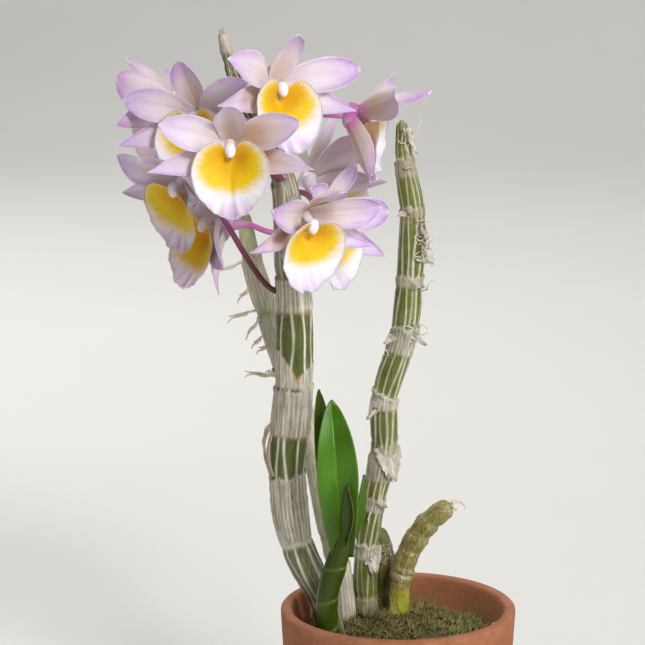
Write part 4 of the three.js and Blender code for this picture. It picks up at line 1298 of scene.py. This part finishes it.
def tepal(piece, matrix, kind, hand, lean, bloom, thick, draw):
    """One sepal or petal, arched, cupped and a little waved at its margins."""
    form = TEPALS[kind]
    turn = math.radians(form["angle"] + lean.get("angle", 0)) * hand
    cup = math.radians(lean.get("cup", bloom["dorsal"] if kind == "dorsal" else form["cup"]))
    root = Vector(form["root"])
    root.x *= hand
    tip = Vector((math.sin(turn) * math.cos(cup), math.cos(turn) * math.cos(cup), math.sin(cup)))
    tip *= lean.get("reach", form["reach"])
    along = (tip - root).normalized()
    face = raised(1)
    face = (face - along * face.dot(along)).normalized()
    face.rotate(Quaternion(along, math.radians(lean.get("roll", 0)) * hand))
    line = bezier(root, root.lerp(tip, 0.5) + face * 2 * form["arch"], tip)
    phase = draw.uniform(0, 6)
    wave = draw.uniform(0.25, 0.5)
    twist = math.radians(draw.uniform(-7, 7))
    recurve = draw.uniform(-0.9, 0.3)
    tint = bloom["lilac"] * draw.uniform(0.85, 1.15)
    # Painted shade: how much beige shading a tepal gets towards its base; the dorsal sepal, which leans
    # forward over the column, gets the most.
    shaded = (0.5 if kind == "dorsal" else 0.2) * bloom["shade"]

    def place(s, t):
        centre = line(s)
        way = (line(min(s + 0.02, 1)) - line(max(s - 0.02, 0))).normalized()
        normal = (face - way * face.dot(way)).normalized()
        side = way.cross(normal)
        side = side * math.cos(twist * s) + normal * math.sin(twist * s)
        normal = side.cross(way)
        half = form["width"] / 2 * outline(s, form["base"], form["peak"], form["point"], 1.7)
        lift = 0.4 * half * t * t + wave * math.sin(s * 7 + phase + t) * abs(t) ** 2.5 * smooth(0, 0.3, s)
        keel = -0.16 * bell(t / 0.1) * smooth(1, 0.7, s)
        return matrix @ (centre + side * half * t + normal * (lift + keel + recurve * s**4))

    def values(s, t, front):
        margin = 0.5 * smooth(0.6, 1, abs(t)) * smooth(0.1, 0.5, s)
        lilac = tint * (smooth(0.4, 1.05, s) * 0.7 + margin + 0.03)
        # Painted shade in beige: towards the base, a little on the back face, and more on tepals given extra
        # for lying in shadow.
        cream_and_painted_shade = shaded * smooth(0.9, 0.1, s) * (1 - 0.5 * abs(t)) + (0.0 if front else 0.16)
        cream_and_painted_shade = min(cream_and_painted_shade + lean.get("extra_painted_shade", 0) * smooth(1.1, 0, s) * (1 - 0.8 * abs(t) ** 3), 1)
        fan = 11 * (1 - 0.3 * s) * (1 + 0.12 * noise_at(t * 2.3, phase, 0))
        fade = 0.6 + 0.8 * noise_at(t * 4, s * 2, phase)
        vein = (0.5 + 0.5 * math.cos(t * math.pi * fan)) ** 6 * smooth(1.0, 0.6, s) * clamp(fade)
        blush = bloom["chin"] * 0.85 * smooth(0.28, 0, s)
        # A painted rim highlight: the lilac fades at the outermost margin. It fades at the very tip as well.
        lilac *= (1 - 0.5 * smooth(0.92, 1, abs(t))) * (1 - 0.8 * smooth(0.95, 0.99, s))
        return min(lilac * (1.0 if front else 0.85), 1), cream_and_painted_shade, blush, vein

    sheet(piece, place, 34, 20, lambda s, t: thick * (1 - 0.72 * abs(t) ** 3) * (1 - 0.5 * s), values)


def column(piece, matrix):
    """The column, flattened below, and the anther cap at its end."""
    drop = math.radians(20)
    start, way = raised(-1.4), Vector((0, -math.sin(drop), math.cos(drop)))
    # Share of the length and radius, for the column and then for its cap.
    profile = [
        (0, 1.5), (0.15, 1.4), (0.35, 1.25), (0.55, 1.1), (0.75, 1.0), (0.9, 0.95), (0.98, 0.8), (1.0, 0.4),
    ]
    centres = [matrix @ (start + way * share * 5.2) for share, _ in profile]
    below = (matrix.to_3x3() @ Vector((0, -1, -0.4))).normalized()

    def shape(i, turn, out):
        # Painted shade: the underside takes the beige shading colour.
        under = max(0.0, out.dot(below))
        return profile[i][1] * (1 - 0.3 * under**2), -0.5, 0.12 * under, 0.0, 0.0

    tube(piece, centres, 24, shape)
    cap = [(0, 0.5), (0.06, 1.0), (0.2, 1.4), (0.4, 1.55), (0.6, 1.5), (0.8, 1.2), (0.94, 0.75), (1.0, 0.3)]
    lean = Vector((0, -math.sin(drop * 3.8), math.cos(drop * 3.8)))
    foot = start + way * 5.2 - lean * 1.9
    centres = [matrix @ (foot + lean * share * 4.2) for share, _ in cap]

    def cap_shape(i, turn, out):
        groove = 0.12 * bell(wrapped(turn) / 0.25)
        rough = 0.06 * noise.noise(out * 5 + Vector((i * 1.3, 0, 0)))
        return cap[i][1] * (1 + rough) - groove, -1.0, 0.04, 0.0, 0.0

    tube(piece, centres, 24, cap_shape)


def seat_on_cane(height, side):
    """A point just inside the flowering cane's skin, and the way out from it there."""
    centres, radii = cane_rings(CANES["flowering"], 1.0)
    i = next(n for n, centre in enumerate(centres) if centre.z > height)
    along = (centres[i] - centres[i - 1]).normalized()
    away = heading(side)
    away = (away - along * away.dot(along)).normalized()
    return centres[i] + away * (radii[i] - 0.5), away


def stalk(piece, matrix, bloom):
    """The chin behind the lip, the ovary and the stalk that runs from it to the cane."""
    seat, away = seat_on_cane(*bloom["seat"])
    start = matrix @ Vector((0, -1.6, -3.4))
    out = matrix.to_3x3() @ Vector((0, bloom["lift"], -bloom["back"]))
    curve = bezier(start, start + out, seat + away * 6, seat)
    steps = 40

    def shape(i, turn, out):
        share = i / steps
        ovary = 0.7 * smooth(0, 0.06, share) * smooth(0.34, 0.1, share)
        ribs = 0.05 * math.cos(turn * 6) * smooth(0.4, 0.1, share)
        foot = 0.35 * smooth(0.9, 1, share)
        # The stalk darkens towards the cane; its darkest wine is painted shade.
        return 0.82 + ovary + ribs + foot, 0.5, 0.25, mix(0.2, bloom["wine"], smooth(0, 0.7, share)), 0.0

    tube(piece, [curve(i / steps) for i in range(steps + 1)], 18, shape)
    # The chin's height and radius.
    chin = [
        (1.6, 1.0), (1.1, 2.0), (0.2, 2.45), (-1.2, 2.6), (-2.8, 2.4), (-4.3, 1.9), (-5.3, 1.25), (-5.8, 0.6),
    ]
    centres = [matrix @ Vector((0, y, -2.4 - 0.16 * (1.6 - y))) for y, _ in chin]

    def chin_shape(i, turn, out):
        pink = max(smooth(-1.5, -5.5, chin[i][0]) * 0.25, bloom["chin"] * smooth(-5.5, 0.5, chin[i][0]))
        return chin[i][1] * 0.92, 0.2, 0.2, pink, 0.0

    tube(piece, centres, 24, chin_shape)


def lip_point(share, turn, ripple):
    """A point of the lip in its own plane: a shallow dish with a deep throat, cleft at the top."""
    radius, dish = LIP["radius"], LIP["dish"]
    top = math.atan2(math.sin(turn - math.pi / 2), math.cos(turn - math.pi / 2))
    depth, half_angle = LIP["cleft"]
    out = share * (1 - depth * bell(top / math.radians(half_angle)))
    x = radius[0] * out * math.cos(turn) * (1 + LIP["heart"] * math.sin(turn))
    x *= 1 - 0.07 * smooth(0.35, 0.9, -math.sin(turn)) * share  # it narrows to a blunt point below
    y = radius[1] * out * math.sin(turn)
    hem = 0.35 + 0.65 * max(0.0, -math.sin(turn))
    frill = 0.014 * math.sin(11 * turn + ripple) + 0.01 * math.sin(29 * turn + 2 * ripple)
    frill = hem * frill * share**6
    x, y = x * (1 + frill), y * (1 + frill)
    pleats = 0.16 * math.sin(19 * turn + ripple) * max(0.0, -math.sin(turn)) ** 2 * share**3
    pleats -= 0.7 * bell(x / 1.1) * smooth(-4, -9.5, y)
    wave = (0.4 * math.sin(9 * turn) + 0.16 * math.sin(23 * turn + ripple)) * hem * share**4 + pleats
    along, deep, spread = LIP["throat"]
    hollow = deep * math.exp(-(x * x + (y - along) ** 2) / spread)
    crease = 0.35 * bell(x / 0.8) * smooth(4, 0, y) * smooth(1.02, 0.6, share)
    return Vector((x, y, dish * (out * out - 0.6) + wave - hollow - crease))


def make_lip(name, bloom, matrix, settings, material):
    draw = random.Random(name + " lip")
    piece = Piece("yellow", "orange", "lilac")
    yaw, roll = (math.radians(v) for v in bloom["lip"])
    claw = Vector(CLAW["from"])
    turned = Matrix.Translation(claw) @ Matrix.Rotation(yaw, 4, "Y") @ Matrix.Rotation(roll, 4, "Z")
    frame_of_lip = matrix @ turned @ Matrix.Translation(Vector(LIP["centre"]) - claw)
    ripple = draw.uniform(0, 6)
    rings, sectors, hairs = LIP["rings"], LIP["sectors"], LIP["hairs"]
    streaks = [draw.random() for _ in range(sectors)]
    fringe = settings.fringe / MM

    def values(x, y, share, streak):
        streak = mix(0.5, streak, smooth(0, 0.4, share))
        away = math.hypot(x / 9.4, (y - 3.4) / 7.6) / bloom["gold"]
        ragged = 0.1 * (streak - 0.5) + 0.06 * noise_at(x * 0.5, y * 0.5, ripple)
        yellow = smooth(1.15, 0.72, away + ragged) * mix(1, smooth(1.0, 0.93, share), 0.7)
        lobes = math.hypot(abs(x) - 3.4, (y - 5.6) * 0.8)
        middle = math.hypot(x * 1.2, y - 1.5)
        orange = 0.7 * smooth(4.8, 0.4, lobes) + 0.35 * smooth(5.5, 1, middle) + 0.1 * streak
        fold = noise_at(math.atan2(x, 2 - y) * 5, share, ripple)
        lilac = smooth(-3.0, -10, y) * (0.22 + 0.5 * fold + 0.12 * streak) + 0.12 * smooth(0.8, 1, share)
        lilac = max(lilac, 0) + 0.25 * bell(x / 0.7) * smooth(-4.5, -8, y)
        return yellow, min(orange, 1), lilac

    fronts, backs = [], []
    for r in range(rings + 1):
        share = (r / rings) ** 0.85
        fronts.append([])
        backs.append([])
        for k in range(sectors if r else 1):
            turn = TURN * (k + 0.5) / sectors
            edge = share * (1 + (0.018 * (streaks[k] - 0.5) if r == rings else 0))
            point = lip_point(edge, turn, ripple)
            seen = values(point.x, point.y, share, streaks[k])
            under = point - raised(mix(0.6, 0.16, share**3))
            fronts[-1].append(piece.add(frame_of_lip @ point, *seen))
            backs[-1].append(piece.add(frame_of_lip @ under, seen[0] * 0.7, seen[1] * 0.5, seen[2]))
    for k in range(sectors):
        n = (k + 1) % sectors
        piece.face(fronts[0][0], fronts[1][k], fronts[1][n])
        piece.face(backs[0][0], backs[1][n], backs[1][k])
        for r in range(1, rings):
            piece.face(fronts[r][k], fronts[r + 1][k], fronts[r + 1][n], fronts[r][n])
            piece.face(backs[r][k], backs[r][n], backs[r + 1][n], backs[r + 1][k])
        piece.face(fronts[-1][k], backs[-1][k], backs[-1][n], fronts[-1][n])
    for h in range(hairs):  # the fringe: short tapered hairs all round the rim
        turn = TURN * (h + draw.uniform(-0.4, 0.4)) / hairs
        root = lip_point(0.985, turn, ripple)
        way = (root - lip_point(0.9, turn, ripple)).normalized()
        way = (way + Vector((draw.gauss(0, 0.18), draw.gauss(0, 0.18), draw.gauss(0.1, 0.25)))).normalized()
        tall = fringe * draw.uniform(0.55, 1.15)
        hair(piece, frame_of_lip, root, way, tall, 0.09, 0.5 * smooth(-2, 2, root.y))
    claw_line = bezier(*(matrix @ turned @ (Vector(CLAW[k]) - claw) for k in ("from", "to")))
    strand(piece, claw_line, 6, [CLAW["radius"], CLAW["radius"] * 0.7], 16, 0.9, 0.2, 0.0)
    piece.build(f"{name}_lip_velvet", material, "lip", f"bloom_{name}_lip")


def hair(piece, matrix, root, way, tall, width, yellow):
    """One hair: a tapered spike of three sides."""
    side = way.cross(Vector((0.2, 0.3, 1))).normalized() * width
    other = way.cross(side).normalized() * width
    corners = (side, -side * 0.5 + other * 0.87, -side * 0.5 - other * 0.87)
    base = [piece.add(matrix @ (root - way * 0.15 + c), yellow, 0.0, 0.0) for c in corners]
    tip = piece.add(matrix @ (root + way * tall), yellow, 0.0, 0.0)
    piece.face(*base)
    piece.band(base, [tip])


def make_bloom(name, bloom, settings, material):
    draw = random.Random(name)
    piece = Piece("lilac", "cream_and_painted_shade", "wine", "vein")
    matrix = bloom_frame(bloom)
    thick = settings.petal_thickness / MM
    leans = bloom["leans"]
    tepal(piece, matrix, "dorsal", 1, leans.get("dorsal", {}), bloom, thick, draw)
    for kind in ("petal", "sepal"):
        for hand, side in ((1, "right"), (-1, "left")):
            tepal(piece, matrix, kind, hand, leans.get(f"{kind}_{side}", {}), bloom, thick, draw)
    column(piece, matrix)
    stalk(piece, matrix, bloom)
    piece.build(f"{name}_tepals", material, "petal", f"bloom_{name}")


# ---------- stage ----------

AIM = (-21.6, 0, 142.6)
DOWN = math.radians(12.0)
SENSOR, LENS = 36, 159.5
SWEEP = {"front": -8.0, "bend": 1.2, "radius": 0.8, "cuts": 10, "top": 4.0, "half_width": 8}  # in metres

# Each lamp's place in metres, what it lights, its size and its power.
PLANT, WALL_BEHIND = (-0.02, 0, 0.14), (0, 2.0, 0.9)
LAMPS = {
    "key": ((0.4, -0.95, 0.8), PLANT, 0.35, 11.0),
    "side": ((1.1, -0.45, 0.24), PLANT, 0.32, 4.0),
    "fill": ((-0.9, -0.55, 0.35), PLANT, 0.6, 0.5),
    "rim": ((-0.45, 0.75, 0.8), PLANT, 0.5, 5.0),
    "backdrop": ((0, 0.5, 1.9), WALL_BEHIND, 1.6, 18.0),
}


def make_stage(settings):
    scene = bpy.context.scene
    data = bpy.data.cameras.new("camera")
    data.sensor_width, data.lens, data.clip_start, data.clip_end = SENSOR, LENS, 0.05, 20
    scene.camera = placed("camera", data)
    back = Vector((0, -math.cos(DOWN), math.sin(DOWN)))
    scene.camera.location = Vector(AIM) * MM + back * settings.distance
    scene.camera.rotation_euler = (-back).to_track_quat("-Z", "Y").to_euler()

    bend, radius, cuts = SWEEP["bend"], SWEEP["radius"], SWEEP["cuts"]
    sweep = [(SWEEP["front"], 0.0), (bend, 0.0)]
    for a in range(1, cuts + 1):
        turn = a * math.pi / 2 / cuts
        sweep.append((bend + radius * math.sin(turn), radius - radius * math.cos(turn)))
    sweep.append((bend + radius, SWEEP["top"]))
    form = bmesh.new()
    rows = [[form.verts.new((x * SWEEP["half_width"], y, z)) for x in (-1, 1)] for y, z in sweep]
    for low, high in zip(rows, rows[1:]):
        form.faces.new((low[0], low[1], high[1], high[0]))
    mesh = bpy.data.meshes.new("sweep")
    form.to_mesh(mesh)
    form.free()
    mesh.polygons.foreach_set("use_smooth", [True] * len(mesh.polygons))
    mesh.materials.append(paper_floor(settings))
    placed("sweep", mesh)

    for name, (place, target, size, power) in LAMPS.items():
        light = bpy.data.lights.new(name, "AREA")
        light.shape, light.size, light.energy = "DISK", size, power
        lamp = placed(name, light)
        lamp.location = place
        lamp.rotation_euler = (Vector(target) - Vector(place)).to_track_quat("-Z", "Y").to_euler()
    world = bpy.data.worlds.new("soft room")
    world.use_nodes = True
    background = world.node_tree.nodes["Background"]
    background.inputs["Color"].default_value = linear("#f2f2f3")
    background.inputs["Strength"].default_value = 0.22
    scene.world = world
    scene.view_settings.view_transform = "Standard"


# ---------- operators and panel ----------


class ORCHID_OT_pot(bpy.types.Operator):
    """Make the clay pot"""

    bl_idname = "orchid.pot"
    bl_label = "Pot"

    def execute(self, context):
        make_pot(context.scene.orchid_pot)
        return {"FINISHED"}


class ORCHID_OT_moss(bpy.types.Operator):
    """Make the moss, the potting mix and what grows in it"""

    bl_idname = "orchid.moss"
    bl_label = "Moss"

    def execute(self, context):
        scene = context.scene
        make_moss(scene.orchid_moss, scene.orchid_pot)
        make_litter(scene.orchid_canes)
        return {"FINISHED"}


class ORCHID_OT_canes(bpy.types.Operator):
    """Make the five canes with their sheaths, fibres and air roots"""

    bl_idname = "orchid.canes"
    bl_label = "Canes"

    def execute(self, context):
        settings = context.scene.orchid_canes
        green = cane_skin("cane skin under a papery sheath", settings, settings.flesh, 0.34)
        younger = "younger cane skin under a papery sheath"
        bright = cane_skin(younger, settings, settings.bright_flesh, 0.38, 0.45)
        pale = cane_skin("silvery cane skin", settings, settings.pale_flesh, 0.55, 0.3)
        old = cane_skin("old cane skin, scurfy", settings, settings.old_flesh, 0.66, 0.5, settings.old_foot)
        dark = cane_skin("dark cane skin", settings, [c * 0.6 for c in settings.old_flesh], 0.5)
        skins = {"rear": pale, "right": bright, "stub": old, "dark_stub": dark}
        for name, cane in CANES.items():
            slot = "old_cane" if "stub" in name else "cane"
            make_cane(name, cane, settings, skins.get(name, green), slot)
        return {"FINISHED"}


class ORCHID_OT_shoot(bpy.types.Operator):
    """Make the new growth with its leaves"""

    bl_idname = "orchid.shoot"
    bl_label = "New growth"

    def execute(self, context):
        make_shoot(context.scene.orchid_shoot)
        return {"FINISHED"}


class ORCHID_OT_blooms(bpy.types.Operator):
    """Make the blooms, each with its lip and stalk"""

    bl_idname = "orchid.blooms"
    bl_label = "Blooms"

    def execute(self, context):
        settings = context.scene.orchid_blooms
        tissue, velvet = petal_material(settings), lip_material(settings)
        for name, bloom in BLOOMS.items():
            make_bloom(name, bloom, settings, tissue)
            make_lip(name, bloom, bloom_frame(bloom), settings, velvet)
        return {"FINISHED"}


class ORCHID_OT_stage(bpy.types.Operator):
    """Make the floor, the lights and the camera"""

    bl_idname = "orchid.stage"
    bl_label = "Stage"

    def execute(self, context):
        make_stage(context.scene.orchid_stage)
        return {"FINISHED"}


GROUPS = {
    "orchid_pot": PotSettings,
    "orchid_moss": MossSettings,
    "orchid_canes": CaneSettings,
    "orchid_shoot": ShootSettings,
    "orchid_blooms": BloomSettings,
    "orchid_stage": StageSettings,
}
OPERATORS = {
    "orchid_pot": ORCHID_OT_pot,
    "orchid_moss": ORCHID_OT_moss,
    "orchid_canes": ORCHID_OT_canes,
    "orchid_shoot": ORCHID_OT_shoot,
    "orchid_blooms": ORCHID_OT_blooms,
    "orchid_stage": ORCHID_OT_stage,
}


class ORCHID_PT_panel(bpy.types.Panel):
    """The orchid's pieces and their settings"""

    bl_label = "Orchid"
    bl_idname = "ORCHID_PT_panel"
    bl_space_type = "VIEW_3D"
    bl_region_type = "UI"
    bl_category = "Orchid"

    def draw(self, context):
        for key, operator in OPERATORS.items():
            box = self.layout.box()
            box.operator(operator.bl_idname)
            settings = getattr(context.scene, key)
            for name in GROUPS[key].__annotations__:
                box.prop(settings, name)


def register():
    for group in GROUPS.values():
        bpy.utils.register_class(group)
    for operator in OPERATORS.values():
        bpy.utils.register_class(operator)
    bpy.utils.register_class(ORCHID_PT_panel)
    for key, group in GROUPS.items():
        setattr(bpy.types.Scene, key, bpy.props.PointerProperty(type=group))


def unregister():
    for key in GROUPS:
        delattr(bpy.types.Scene, key)
    bpy.utils.unregister_class(ORCHID_PT_panel)
    for operator in reversed(OPERATORS.values()):
        bpy.utils.unregister_class(operator)
    for group in reversed(GROUPS.values()):
        bpy.utils.unregister_class(group)


def main():
    register()
    bpy.ops.orchid.stage()
    bpy.ops.orchid.pot()
    bpy.ops.orchid.moss()
    bpy.ops.orchid.canes()
    bpy.ops.orchid.shoot()
    bpy.ops.orchid.blooms()


if __name__ == "__main__":
    main()
